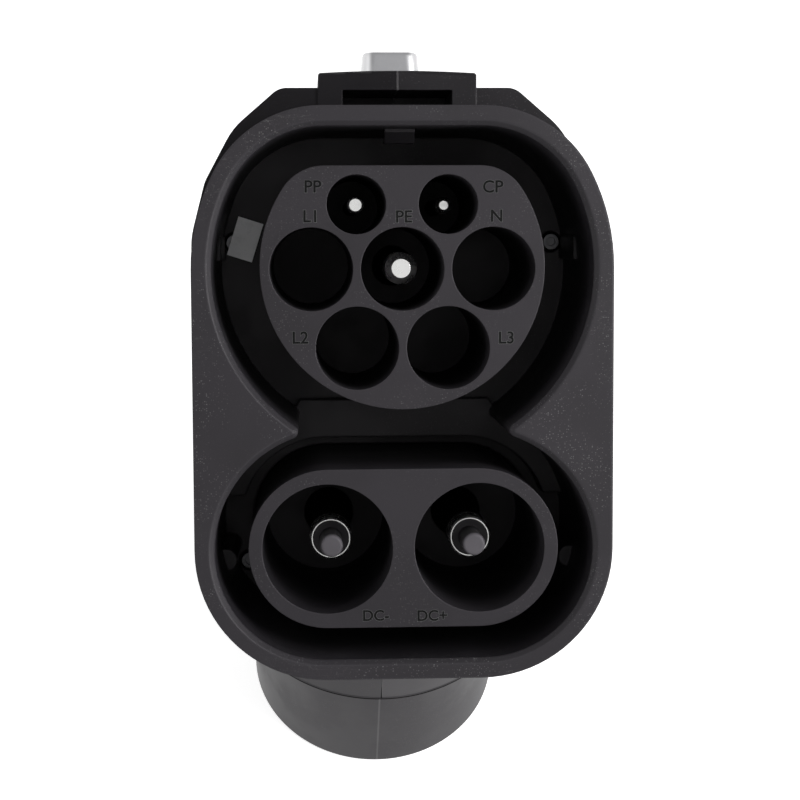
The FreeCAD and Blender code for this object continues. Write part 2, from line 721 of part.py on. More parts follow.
def front_section(inset):
    """Edges of the right half of the housing's front section, with rounded corners."""
    corners = section_corners(inset)
    edges = []
    last = corners[0]
    for before, here, after, round_r in zip(corners, corners[1:], corners[2:], SHOULDER_ROUNDS):
        radius = round_r - inset
        n1 = inward(before, here)
        n2 = inward(here, after)
        turn = acos(n1[0] * n2[0] + n1[1] * n2[1])
        reach = radius * tan(turn / 2)
        first = (here[0] + n1[1] * reach, here[1] - n1[0] * reach)
        second = (here[0] - n2[1] * reach, here[1] + n2[0] * reach)
        centre = (first[0] + n1[0] * radius, first[1] + n1[1] * radius)
        size = hypot(n1[0] + n2[0], n1[1] + n2[1])
        middle = [centre[i] - (n1[i] + n2[i]) / size * radius for i in (0, 1)]
        edges.append(line(*last, *first))
        edges.append(Part.Arc(*[V(p[0], 0, p[1]) for p in (first, middle, second)]).toShape())
        last = second
    edges.append(line(*last, *corners[-1]))
    return edges


def elbow_section(inset):
    """Edges of the right half of the elliptical section at the elbow, split as the front's are."""
    high = (SLEEVE_R - inset) / cos(radians(BEND))
    wide = SLEEVE_R - inset
    ellipse = Part.Ellipse(V(0, 0, ELBOW_Z + high), V(wide, 0, ELBOW_Z), V(0, 0, ELBOW_Z))
    marks = [0.0]
    for edge in front_section(0)[:-1]:
        end = edge.Vertexes[-1].Point
        marks.append(atan2(end.x / SLEEVE_R, (end.z - ELBOW_Z) / SECTION_HALF))
    marks.append(pi)
    return [Part.ArcOfEllipse(ellipse, a, b).toShape() for a, b in zip(marks, marks[1:])]


def half_wire(edges, y):
    """Closed wire at one depth: a right half outline and the line on the middle plane."""
    first = edges[0].Vertexes[0].Point
    last = edges[-1].Vertexes[-1].Point
    wire = Part.Wire(edges + [Part.LineSegment(last, first).toShape()])
    wire.translate(V(0, y, 0))
    return wire


def half_elbow(front_inset, back_inset):
    """Right half of the housing around the shroud and of its taper to the elbow's ellipse."""
    straight = Part.Face(half_wire(front_section(front_inset), SHELL_FRONT))
    straight = straight.extrude(V(0, BOX_END - SHELL_FRONT, 0))
    front = half_wire(front_section(front_inset), BOX_END)
    back = half_wire(elbow_section(back_inset), ELBOW_Y)
    taper = Part.makeLoft([front, back], True, True)
    return placed(joined([straight, taper]))


def half_sleeve(radius, low, edge):
    """Right half of the round sleeve with its end chamfered, cut off by the elbow's plane."""
    tube = post(0, 0, radius - edge, low, FAR).fuse(post(0, 0, radius, low + edge, FAR))
    tube = tube.fuse(Part.makeCone(radius - edge, radius, edge, V(0, 0, low))).removeSplitter()
    return tube.common(placed(box(0, FAR, ELBOW_Y, FAR, -FAR, FAR)))


def hump():
    """Right half of the crowned hump that carries the button."""
    edge_top = HUMP_TOP - HUMP_CROWN
    low = SHELL_TOP - 2 * SHELL_WALL
    crown = Part.Arc(V(-HUMP_HALF, 0, edge_top), V(0, 0, HUMP_TOP), V(HUMP_HALF, 0, edge_top)).toShape()
    outline = [crown, line(HUMP_HALF, edge_top, HUMP_HALF, low), line(HUMP_HALF, low, -HUMP_HALF, low),
               line(-HUMP_HALF, low, -HUMP_HALF, edge_top)]
    wire = Part.Wire(outline)
    wire.translate(V(0, RIM_LENGTH, 0))
    block = Part.Face(wire).extrude(V(0, HUMP_END - RIM_LENGTH, 0))
    corners = [e for e in block.Edges
               if all(abs(abs(v.Point.x) - HUMP_HALF) < 1e-6 and abs(v.Point.z - edge_top) < 1e-6
                      for v in e.Vertexes)]
    block = block.makeFillet(HUMP_ROUND, corners)
    slope = Part.makePolygon([
        V(0, HUMP_END - HUMP_SLOPE, HUMP_TOP + 1), V(0, HUMP_END + 1, HUMP_TOP + 1),
        V(0, HUMP_END + 1, low), V(0, HUMP_END, low), V(0, HUMP_END - HUMP_SLOPE, HUMP_TOP),
        V(0, HUMP_END - HUMP_SLOPE, HUMP_TOP + 1),
    ])
    wedge = Part.Face(slope).extrude(V(2 * FAR, 0, 0))
    wedge.translate(V(-FAR, 0, 0))
    undercut = box(-FAR, FAR, 0, SHELL_FRONT, low - 1, SHROUD_TOP + SEAT)
    block = block.cut(wedge).cut(undercut)
    return placed(block.common(box(0, FAR, 0, FAR, -FAR, FAR)))


def half_front_wall():
    """Right half of the wall that closes the housing's front around the shroud."""
    wall = Part.Face(half_wire(front_section(0), SHELL_FRONT)).extrude(V(0, FRONT_WALL, 0))
    room = prism(shroud_outline(STEP_INSET - SEAT), 0, FAR)
    return placed(wall.cut(room))


def hump_rooms():
    """Spaces in the hump: the slot at the front, the detent's room and the button's well."""
    slot = box(-SLOT_HALF, SLOT_HALF, 0, SLOT_BACK, SHROUD_TOP - 1, SLOT_ROOF)
    land = box(-LAND_HALF - SEAT, LAND_HALF + SEAT, 0, AC_FLOOR_BACK + SEAT, OPENING_TOP,
               SHROUD_TOP + SEAT)
    notch_half = DETENT_HALF + 2 * SEAT
    lift = (DETENT_PIVOT[0] - SLOT_BACK) * tan(radians(DETENT_TURN))
    notch = box(-notch_half, notch_half, 0, WELL_FRONT, SHROUD_TOP - 1, SHROUD_TOP + lift + RUN)
    ear_half = EYE_HALF + DETENT_COIL_R + EAR_WALL + SEAT
    detent = box(-ear_half, ear_half, SLOT_BACK + SLOT_WALL, WELL_FRONT + 1, OPENING_TOP,
                 DETENT_PIVOT[1] + DETENT_EYE_R + SEAT)
    well = box(-WELL_HALF, WELL_HALF, WELL_FRONT, WELL_BACK, PAD_Z - LEVER_THICK, ROOF)
    tongue = box(-WELL_HALF - GUIDE_SIDE - FIT, WELL_HALF + GUIDE_SIDE + FIT, WELL_FRONT, WELL_BACK,
                 GUIDE_LOW - FIT, GUIDE_TOP + FIT)
    mouth = box(-BUTTON_BASE[0] / 2 - RUN, BUTTON_BASE[0] / 2 + RUN,
                BUTTON_Y - BUTTON_BASE[1] / 2 - RUN, BUTTON_Y + BUTTON_BASE[1] / 2 + RUN,
                ROOF - 1, HUMP_TOP + 1)
    uprights = [e for e in mouth.Edges if abs(e.tangentAt(0).z) > 0.9]
    mouth = mouth.makeFillet(BUTTON_ROUND, uprights)
    return placed(fused([slot, land, notch, detent, well, tongue, mouth]))


def shell_screw_places():
    """Screw places in the finished part's Y and Z, clear of the wiring."""
    low = standing(60.0, -63.0)
    high = standing(74.0, 7.5)
    cell = (CELL_AT[1] + CELL_R + 2.3, CELL_BOTTOM - BOSS_R - RUN)
    return ((low.y, low.z), (high.y, high.z), LOW_SCREW_AT, cell)


def shell_bosses():
    """Bosses of the right shell for the shell screws, ending at the middle plane."""
    return [cross_rod(y, z, BOSS_R, 0, SLEEVE_BORE + 1) for y, z in shell_screw_places()]


def pivot_boss(start):
    """Boss from the back wall that holds one end of the latch pin."""
    y, z = LEVER_PIVOT
    return box(start, start + PIVOT_BOSS, y - PIVOT_BOSS_HALF, SLEEVE_BORE + 1, z - PIVOT_BOSS_HALF,
               z + PIVOT_BOSS_HALF)


def cradle(height):
    """Cross rib with a round seat for the battery cell and a gap for the harness."""
    low, high = CRADLE_BAND
    rib = box(0, SLEEVE_BORE + 1, low, high, height, height + CRADLE_WALL)
    rib = rib.cut(post(*CELL_AT, CELL_R + SEAT, 0, FAR))
    gap = box(HARNESS_X - HARNESS_R - SEAT, HARNESS_X + HARNESS_R + SEAT, HARNESS_Y - HARNESS_R - SEAT,
              FAR, 0, FAR)
    return rib.cut(gap)


def cell_shelf():
    """Cross rib that the battery cell stands on, with a gap for the harness."""
    low, high = CRADLE_BAND
    top = CELL_BOTTOM - FIT
    rib = box(0, SLEEVE_BORE + 1, low, high, top - CRADLE_WALL, top)
    gap = box(HARNESS_X - HARNESS_R - SEAT, HARNESS_X + HARNESS_R + SEAT, HARNESS_Y - HARNESS_R - SEAT,
              FAR, 0, FAR)
    return rib.cut(gap)


def stop_rib():
    """Rib behind the shroud's back edge that keeps it from moving in."""
    block = box(OPENING_R - 3.0, SHELL_HALF, AC_FLOOR_BACK + SEAT, AC_FLOOR_BACK + 3.0, -34.0, -12.0)
    return placed(block)


def half_shell(pivot_start):
    """Right housing shell with its hump, bosses and ribs; the left one is its mirror image."""
    outside = joined([half_elbow(0, 0), half_sleeve(SLEEVE_R, COLLAR_END, COLLAR_EDGE)])
    inside = joined([half_elbow(SHELL_WALL, SLEEVE_WALL), half_sleeve(SLEEVE_BORE, 0, COLLAR_EDGE)])
    fittings = shell_bosses() + [pivot_boss(pivot_start), stop_rib(), cell_shelf()]
    fittings += [cradle(height) for height in CRADLE_HEIGHTS]
    fittings.append(half_ring(SLEEVE_BORE + 1, BARREL_R + SEAT, COLLAR_END, COLLAR_END + COLLAR_LIP))
    stop = half_ring(SLEEVE_BORE + 1, BARREL_FLANGE_R - 2, RETAINER_TOP + SEAT,
                     RETAINER_TOP + CRADLE_WALL)
    for x, y in retainer_screw_places():
        stop = stop.cut(post(x, y, RETAINER_SCREW_HEAD_R + RUN, 0, FAR))
    fittings.append(stop)
    fittings = [piece.common(outside) for piece in fittings]
    body = outside.cut(inside)
    body = joined([body, half_front_wall(), hump()] + fittings)
    y, z = LEVER_PIVOT
    latch_slot = box(-LATCH_SLOT_HALF, LATCH_SLOT_HALF, BARREL_R - 2, FAR, 0, LATCH_SLOT_END)
    body = body.cut(latch_slot).cut(hump_rooms())
    body = body.cut(cross_rod(y, z, LEVER_PIN_R + FIT, -1, pivot_start + PIVOT_BOSS - 1))
    return body


def half_ring(radius, bore, z0, z1):
    return ring(radius, bore, z0, z1).common(box(0, FAR, -FAR, FAR, z0, z1))


def screw_bore(y, z, head_side):
    """Space for one shell screw: shank, clearance and head pocket on the head's side."""
    wall = SLEEVE_R + 5
    head_x = SHELL_SCREW_REACH + 4
    shank = cross_rod(y, z, SHELL_SCREW_R, -SHELL_SCREW_REACH, SHELL_SCREW_REACH)
    pocket = cross_rod(y, z, SHELL_SCREW_HEAD_R, head_x - 4, wall)
    tool = shank.fuse(pocket)
    return tool if head_side > 0 else tool.mirror(V(0, 0, 0), V(1, 0, 0))


def right_shell():
    body = half_shell(LEVER_HALF + RUN + LATCH_COIL_ROOM)
    for y, z in shell_screw_places():
        body = body.cut(screw_bore(y, z, -1))
    return body


def left_shell():
    body = half_shell(LEVER_HALF + RUN).mirror(V(0, 0, 0), V(1, 0, 0))
    for y, z in shell_screw_places():
        body = body.cut(screw_bore(y, z, -1))
    return body


def shell_screw(y, z):
    """Screw that runs from its pocket in the left shell into the right shell's boss."""
    head = cross_rod(y, z, SHELL_SCREW_HEAD_R - SEAT, -SHELL_SCREW_REACH - SHELL_SCREW_HEAD,
                     -SHELL_SCREW_REACH)
    shank = cross_rod(y, z, SHELL_SCREW_R - FIT, -SHELL_SCREW_REACH, SHELL_SCREW_REACH - 1)
    recess = cross_rod(y, z, SHELL_SCREW_HEAD_R * 0.4, -FAR, -SHELL_SCREW_REACH - SHELL_SCREW_HEAD / 2)
    return fused([head, shank]).cut(recess)


def shell_screws():
    return Part.makeCompound([shell_screw(y, z) for y, z in shell_screw_places()])


def tapered_block(low_size, high_size, z0, z1, y):
    """Block with rounded uprights that narrows towards its top."""
    wires = []
    for (width, length), z in ((low_size, z0), (high_size, z1)):
        plate = Part.makePlane(width, length, V(-width / 2, y - length / 2, z))
        solid = plate.extrude(V(0, 0, 1))
        uprights = [e for e in solid.Edges if abs(e.tangentAt(0).z) > 0.9]
        solid = solid.makeFillet(BUTTON_ROUND, uprights)
        face = [f for f in solid.Faces if abs(f.CenterOfMass.z - z) < 1e-6][0]
        wires.append(face.OuterWire)
    return Part.makeLoft(wires, True, True)


def release_button():
    """Metal cap, hollow below for its spring, with a flange under the roof and a stem."""
    cap = tapered_block(BUTTON_BASE, BUTTON_TOP_SIZE, FLANGE_TOP, BUTTON_TOP, BUTTON_Y)
    top = [e for e in cap.Edges if all(abs(v.Point.z - BUTTON_TOP) < 1e-6 for v in e.Vertexes)]
    cap = cap.makeFillet(BUTTON_EDGE, top)
    half_x = BUTTON_BASE[0] / 2 + FLANGE_OVERHANG
    half_y = BUTTON_BASE[1] / 2 + FLANGE_OVERHANG
    flange = box(-half_x, half_x, BUTTON_Y - half_y, BUTTON_Y + half_y, FLANGE_LOW, FLANGE_TOP)
    cup = post(0, BUTTON_Y, CUP_R, 0, BUTTON_TOP - CUP_CEILING)
    stem = post(0, BUTTON_Y, STEM_R, STEM_LOW, BUTTON_TOP - CUP_CEILING / 2)
    stem = stem.makeFillet(0.8, [e for e in stem.Edges if abs(e.Vertexes[0].Point.z - STEM_LOW) < 1e-6
                                 and abs(e.Vertexes[-1].Point.z - STEM_LOW) < 1e-6])
    return placed(fused([fused([cap, flange]).cut(cup), stem]))


def button_guide():
    """Plate held in the shells' grooves that guides the stem and seats the spring."""
    half = WELL_HALF + GUIDE_SIDE
    plate = box(-half, half, WELL_FRONT + SEAT, WELL_BACK - SEAT, GUIDE_LOW, GUIDE_TOP)
    return placed(plate.cut(post(0, BUTTON_Y, STEM_R + RUN / 2, 0, FAR)))


def coil(radius, wire, height, turns):
    """Round-wire spring along Z from zero to a height, with its wire inside that height."""
    path = Part.makeHelix((height - wire) / turns, height - wire, radius)
    section = Part.Wire(Part.Circle(V(radius, 0, 0), V(0, 1, 0), wire / 2).toShape())
    spring = Part.Wire(path).makePipeShell([section], True, True)
    spring.translate(V(0, 0, wire / 2))
    return spring


def button_spring():
    """Return spring around the stem, from the guide to the cup's ceiling."""
    low = GUIDE_TOP + FIT
    height = BUTTON_TOP - CUP_CEILING - FIT - low
    spring = coil((CUP_R + STEM_R) / 2, SPRING_WIRE, height, 4)
    spring.translate(V(0, BUTTON_Y, low))
    return placed(spring)


def detent_arm():
    """Leaf arm in the shroud's top with its tab in the opening and its eye on the pin."""
    y, z = DETENT_PIVOT
    half = DETENT_HALF
    leaf = box(-half, half, DETENT_FRONT, y, LEAF_LOW, LEAF_TOP)
    neck = box(-half, half, SLOT_BACK + SLOT_WALL + SEAT, y, LEAF_LOW, z)
    eye = cross_rod(y, z, DETENT_EYE_R, -half, half)
    ramp = DETENT_TAB * 0.4
    side = Part.makePolygon([
        V(-half, DETENT_FRONT, LEAF_TOP), V(-half, DETENT_FRONT, TAB_LOW + ramp),
        V(-half, DETENT_FRONT + ramp, TAB_LOW), V(-half, DETENT_FRONT + DETENT_TAB, TAB_LOW),
        V(-half, DETENT_FRONT + DETENT_TAB, LEAF_TOP), V(-half, DETENT_FRONT, LEAF_TOP),
    ])
    tab = Part.Face(side).extrude(V(2 * half, 0, 0))
    body = fused([leaf, neck, eye, tab])
    return placed(body.cut(cross_rod(y, z, DETENT_PIN_R + FIT, -FAR, FAR)))


def detent_pin():
    y, z = DETENT_PIVOT
    half = EYE_HALF + DETENT_COIL_R + EAR_WALL
    return placed(cross_rod(y, z, DETENT_PIN_R, -half, half))


def detent_spring():
    """Wire spring around the pin beside the eye, with one leg on the leaf."""
    y, z = DETENT_PIVOT
    radius = DETENT_PIN_R + DETENT_WIRE
    spring = coil(radius, DETENT_WIRE, DETENT_COIL_R - 2 * FIT, 3)
    spring.rotate(V(0, 0, 0), V(0, 1, 0), 90)
    spring.translate(V(EYE_HALF + FIT, y, z))
    return placed(spring)


def plug_barrel():
    """Round barrel with its contact well, two key ribs and the flange held by the shells."""
    body = fused([post(0, 0, BARREL_R, 0, BARREL_END),
                  post(0, 0, BARREL_FLANGE_R, BARREL_FLANGE_LOW + GASKET / 2, BARREL_END)])
    outer = [e for e in body.Edges if abs(e.BoundBox.ZMax) < 1e-6]
    body = body.makeFillet(BARREL_EDGE, outer)
    bore = post(0, 0, WELL_R, -1, FAR)
    for angle in (90, 210, 330):
        x = WELL_R * cos(radians(angle))
        y = WELL_R * sin(radians(angle))
        bore = bore.cut(key_rib(x, y, angle))
    body = body.cut(bore).cut(post(0, 0, BARREL_R - CARRIER_LEDGE + 2 * FIT, WELL_DEPTH, FAR))
    room = LATCH_SLOT_HALF
    body = body.cut(box(-room, room, BARREL_R, FAR, 0, FAR))
    for x, y in retainer_screw_places():
        body = body.cut(post(x, y, RETAINER_SCREW_R, BARREL_FLANGE_LOW, FAR))
    return body


def key_rib(x, y, angle):
    """Rib inside the well that lets the plug enter one way only."""
    rib = box(-KEY_DEPTH, KEY_DEPTH, -KEY_WIDTH / 2, KEY_WIDTH / 2, 4, WELL_DEPTH)
    rib.rotate(V(0, 0, 0), V(0, 0, 1), angle)
    rib.translate(V(x, y, 0))
    return rib


def retainer_screw_places():
    return [(RETAINER_SCREW_RING * cos(radians(a)), RETAINER_SCREW_RING * sin(radians(a)))
            for a in (40, 140, 220, 320)]


def plug_pins():
    """Every plug contact: place, radius and tip."""
    pins = [(-PLUG_DC_X, 0.0, PLUG_DC_R), (PLUG_DC_X, 0.0, PLUG_DC_R), (*PLUG_EARTH_AT, PLUG_EARTH_R)]
    return pins + [(x, y, PLUG_SMALL_R) for x, y in SIGNAL_AT + AUX_AT]


def plug_contact_carrier():
    """Disc at the bottom of the well that holds the nine contacts."""
    body = post(0, 0, CARRIER_R, WELL_DEPTH, BARREL_END)
    for x, y, radius in plug_pins():
        body = body.cut(post(x, y, radius + FIT, 0, FAR))
    for x, y, radius in plug_pins()[:3]:
        body = body.cut(post(x, y, radius + PLUG_COLLAR + FIT, 0, WELL_DEPTH + COLLAR_SEAT))
    return body


def plug_collar(x, y, radius):
    """Collar that seats a large plug contact in the front of the carrier."""
    return post(x, y, radius + PLUG_COLLAR, WELL_DEPTH - COLLAR_FRONT, WELL_DEPTH + COLLAR_SEAT)


def plug_retainer():
    """Plate screwed to the barrel's flange behind the contact carrier."""
    body = post(0, 0, BARREL_FLANGE_R - SEAT, BARREL_END, RETAINER_TOP)
    body = body.cut(box(-LATCH_SLOT_HALF, LATCH_SLOT_HALF, BARREL_R - 4, FAR, 0, FAR))
    for x, y, radius in plug_pins():
        body = body.cut(post(x, y, radius + SEAT, 0, FAR))
    for x, y in retainer_screw_places():
        body = body.cut(post(x, y, RETAINER_SCREW_R + FIT, 0, FAR))
    return body


def retainer_screw(x, y):
    head = post(x, y, RETAINER_SCREW_HEAD_R, RETAINER_TOP, RETAINER_TOP + RETAINER_SCREW_HEAD)
    shank = post(x, y, RETAINER_SCREW_R - FIT, BARREL_FLANGE_LOW + 1, RETAINER_TOP)
    return fused([head, shank])


def plug_retainer_screws():
    return Part.makeCompound([retainer_screw(x, y) for x, y in retainer_screw_places()])


def plug_gasket():
    """Flat seal between the collar's lip and the barrel's flange."""
    low = COLLAR_END + COLLAR_LIP
    body = ring(BARREL_FLANGE_R, BARREL_R + SEAT, low, BARREL_FLANGE_LOW + GASKET / 2)
    return body.cut(box(-LATCH_SLOT_HALF, LATCH_SLOT_HALF, 0, FAR, 0, FAR))


def plug_dc_pin(x):
    """Power pin of the plug: hollow nose, collar and a crimp for the cable."""
    end = PLUG_TAIL + CRIMP_LENGTH
    nose = post(x, 0, PLUG_DC_R, PLUG_DC_TIP, PLUG_TAIL)
    front = [e for e in nose.Edges if abs(e.BoundBox.ZMax - PLUG_DC_TIP) < 1e-6]
    nose = nose.makeChamfer(PLUG_DC_NOSE, front)
    crimp = post(x, 0, DC_PIN_R + CRIMP_WALL, PLUG_TAIL, end)
    body = fused([nose, plug_collar(x, 0, PLUG_DC_R), crimp])
    body = body.cut(post(x, 0, PLUG_GUARD_R + FIT, 0, PLUG_DC_TIP + GUARD_TAIL))
    return body.cut(post(x, 0, STRIP_R + FIT, end - CRIMP_LENGTH + 1, FAR))


def plug_guard(x):
    tip = post(x, 0, PLUG_GUARD_R, PLUG_GUARD_TIP, PLUG_DC_TIP + GUARD_TAIL)
    return tip.makeFillet(0.8, [e for e in tip.Edges if abs(e.BoundBox.ZMax - PLUG_GUARD_TIP) < 1e-6])


def plug_pin(x, y, radius, tip, end):
    """Round-nosed plug contact."""
    pin = post(x, y, radius, tip, end)
    return pin.makeFillet(radius * 0.6, [e for e in pin.Edges if abs(e.BoundBox.ZMax - tip) < 1e-6])


def lever_pad_ends():
    """Ends of the lever's flat pad under the stem, in the finished part's Y and Z."""
    front = standing(BUTTON_Y - PAD_LENGTH / 2, PAD_Z)
    back = standing(BUTTON_Y + PAD_LENGTH / 2, PAD_Z)
    return (front.y, front.z), (back.y, back.z)


def strap(points, half):
    """Bent flat bar through points in Y and Z, with round bends."""
    pieces = []
    for (y0, z0), (y1, z1) in zip(points, points[1:]):
        length = hypot(y1 - y0, z1 - z0)
        ny = -(z1 - z0) / length * LEVER_THICK / 2
        nz = (y1 - y0) / length * LEVER_THICK / 2
        corners = [(y0 + ny, z0 + nz), (y1 + ny, z1 + nz), (y1 - ny, z1 - nz), (y0 - ny, z0 - nz),
                   (y0 + ny, z0 + nz)]
        face = Part.Face(Part.makePolygon([V(-half, y, z) for y, z in corners]))
        pieces.append(face.extrude(V(2 * half, 0, 0)))
    for y, z in points[1:-1]:
        pieces.append(cross_rod(y, z, LEVER_THICK / 2, -half, half))
    return pieces


def latch_lever():
    """Bent steel lever: pad under the button, eye on its pin, hook beside the barrel."""
    pad_front, pad_back = lever_pad_ends()
    points = [pad_front, pad_back, ARM_KNEE, LEVER_PIVOT, HOOK_SHOULDER, (HOOK_Y, HOOK_BEND),
              (HOOK_Y, HOOK_TIP)]
    pieces = strap(points, LEVER_HALF)
    pieces.append(cross_rod(*LEVER_PIVOT, LEVER_EYE_R, -LEVER_HALF, LEVER_HALF))
    face_y = HOOK_Y - LEVER_THICK / 2
    claw_y = BARREL_R + CLAW_GAP
    side = [(face_y + 1, HOOK_TIP), (face_y, HOOK_TIP), (claw_y, HOOK_TIP + CLAW_HEIGHT * 0.6),
            (claw_y, HOOK_TIP + CLAW_HEIGHT), (face_y + 1, HOOK_TIP + CLAW_HEIGHT), (face_y + 1, HOOK_TIP)]
    claw = Part.Face(Part.makePolygon([V(-LEVER_HALF, y, z) for y, z in side]))
    pieces.append(claw.extrude(V(2 * LEVER_HALF, 0, 0)))
    return fused(pieces).cut(cross_rod(*LEVER_PIVOT, LEVER_PIN_R + FIT, -FAR, FAR))


def latch_pivot_pin():
    left = LEVER_HALF + RUN + PIVOT_BOSS - 1.2
    right = LEVER_HALF + RUN + LATCH_COIL_ROOM + PIVOT_BOSS - 1.2
    return cross_rod(*LEVER_PIVOT, LEVER_PIN_R, -left, right)


def latch_spring():
    """Torsion spring around the latch pin, with one leg on the lever and one on the shell."""
    y, z = LEVER_PIVOT
    radius = LEVER_PIN_R + 0.2 + LATCH_WIRE / 2
    start = LEVER_HALF + RUN
    spring = coil(radius, LATCH_WIRE, LATCH_COIL_ROOM - RUN, 2.5)
    spring.rotate(V(0, 0, 0), V(0, 1, 0), 90)
    spring.translate(V(start, y, z))
    return spring


def bent_tube(points, radius):
    """Round cable through points, with arcs as large as the runs allow."""
    edges = []
    last = points[0]
    for before, here, after in zip(points, points[1:], points[2:]):
        into = (here - before).normalize()
        out = (after - here).normalize()
        turn = into.getAngle(out)
        run_in = (here - before).Length * (0.9 if before is points[0] else 0.45)
        run_out = (after - here).Length * (0.9 if after is points[-1] else 0.45)
        reach = min(run_in, run_out)
        bend_r = reach / tan(turn / 2)
        first = here - into * reach
        second = here + out * reach
        inside = (out - into).normalize()
        middle = here + inside * (bend_r / cos(turn / 2) - bend_r)
        edges.append(Part.LineSegment(last, first).toShape())
        edges.append(Part.Arc(first, middle, second).toShape())
        last = second
    edges.append(Part.LineSegment(last, points[-1]).toShape())
    path = Part.Wire(edges)
    start = Part.Circle(points[0], points[1] - points[0], radius)
    return path.makePipeShell([Part.Wire(start.toShape())], True, False)


def dc_cable(x):
    """Power cable from an inlet pin's crimp straight back and then down to the plug's pin."""
    start = standing(DC_RETAINER_BACK + CRIMP_LENGTH, DC_Z, x)
    inner = standing(DC_RETAINER_BACK + 1.5, DC_Z, x)
    along = (start - inner).normalize()
    corner = start + along * (-start.y / along.y)
    end = V(x, 0, PLUG_TAIL + CRIMP_LENGTH)
    jacket = bent_tube([start, corner, end], DC_CABLE_R)
    top_core = Part.makeCylinder(STRIP_R, (start - inner).Length, inner, along)
    low_core = post(x, 0, STRIP_R, PLUG_TAIL + 1.5, PLUG_TAIL + CRIMP_LENGTH)
    return fused([jacket, top_core, low_core])


def earth_cable():
    """Earth cable from the inlet's earth pin, round the battery cell and down to the plug."""
    x, y = PLUG_EARTH_AT
    bends = [V(0, *bend) for bend in EARTH_BENDS]
    points = [standing(BOARD_BACK + TAIL_LENGTH, 0), standing(BOARD_BACK + TAIL_LENGTH + 5.5, 0)]
    points += bends + [V(x, y, PLUG_TAIL)]
    return bent_tube(points, EARTH_CABLE_R)


def signal_harness():
    """Round bundle from the harness plug up beside the battery cell to the board."""
    tilt = radians(BEND)
    y_in = BOARD_BACK + HEADER_SIZE[1]
    end = standing(y_in, HEADER_Z, HARNESS_X)
    corner = end + V(0, sin(tilt), -cos(tilt)) * ((HARNESS_Y - end.y) / sin(tilt))
    return bent_tube([V(HARNESS_X, HARNESS_Y, HARNESS_PLUG_END), corner, end], HARNESS_R)


def board_header():
    width, depth, height = HEADER_SIZE
    return placed(box(HARNESS_X - width / 2, HARNESS_X + width / 2, BOARD_BACK, BOARD_BACK + depth,
                      HEADER_Z - height / 2, HEADER_Z + height / 2))


def harness_plug():
    """Housing that plugs onto the tails of the four signal contacts."""
    left = SIGNAL_AT[0][0] - PLUG_SMALL_R - HARNESS_PLUG_WALL
    low = SIGNAL_AT[0][1] - PLUG_SMALL_R - HARNESS_PLUG_WALL
    high = SIGNAL_AT[1][1] + PLUG_SMALL_R + HARNESS_PLUG_WALL
    body = box(left, HARNESS_X + HARNESS_R + SEAT, low, high, RETAINER_TOP, HARNESS_PLUG_END)
    for x, y in SIGNAL_AT:
        body = body.cut(post(x, y, PLUG_SMALL_R + FIT, 0, PLUG_TAIL))
    return body


def control_board():
    """Circuit board behind the upper contacts, on the retainer's standoffs."""
    low, high = BOARD_BAND
    board = box(-BOARD_HALF, BOARD_HALF, BOARD_FRONT, BOARD_BACK, low, high)
    for z in STANDOFF_BAND:
        for x, _ in both_sides(STANDOFF_X, z):
            board = board.cut(rod(x, z, BOARD_SCREW_R + FIT, 0, FAR))
    for x, z in SIGNAL_HOLES:
        board = board.cut(rod(x, z, SIGNAL_R + FIT, 0, FAR))
    return placed(board.cut(rod(0, 0, EARTH_R + SEAT, 0, FAR)))


def board_chips():
    """Larger parts on the board's back."""
    chips = [box(x0, x1, BOARD_BACK, BOARD_BACK + height, z0, z1) for x0, x1, z0, z1, height in CHIPS]
    return placed(Part.makeCompound(chips))


def board_screws():
    screws = []
    for z in STANDOFF_BAND:
        for x, _ in both_sides(STANDOFF_X, z):
            head = rod(x, z, BOARD_SCREW_HEAD_R, BOARD_BACK, BOARD_BACK + BOARD_SCREW_HEAD)
            shank = rod(x, z, BOARD_SCREW_R - FIT, AC_RETAINER_BACK + 2, BOARD_BACK)
            screws.append(fused([head, shank]))
    return placed(Part.makeCompound(screws))


def battery_cell():
    """Round cell with its raised end contact."""
    body = post(*CELL_AT, CELL_R, CELL_BOTTOM, CELL_TOP - 1)
    return fused([body, post(*CELL_AT, CELL_R * 0.35, CELL_TOP - 1, CELL_TOP)])


def aux_leads():
    """Two thin leads from the auxiliary contacts up to the board."""
    leads = []
    for x, y in AUX_AT:
        side = 1 if x > 0 else -1
        end = standing(BOARD_BACK, BOARD_BAND[0] + 3, side * AUX_LEAD_X)
        back = standing(BOARD_BACK + 10, BOARD_BAND[0] + 3, side * AUX_LEAD_X)
        bend = V(side * AUX_LEAD_X, y + 2, PLUG_TAIL + 26)
        points = [V(x, y, PLUG_TAIL), V(x, y, PLUG_TAIL + 8), bend, back, end]
        leads.append(bent_tube(points, AUX_LEAD_R))
    return Part.makeCompound(leads)


def save(name, shape):
    shape.exportStep("parts/" + name + ".step")


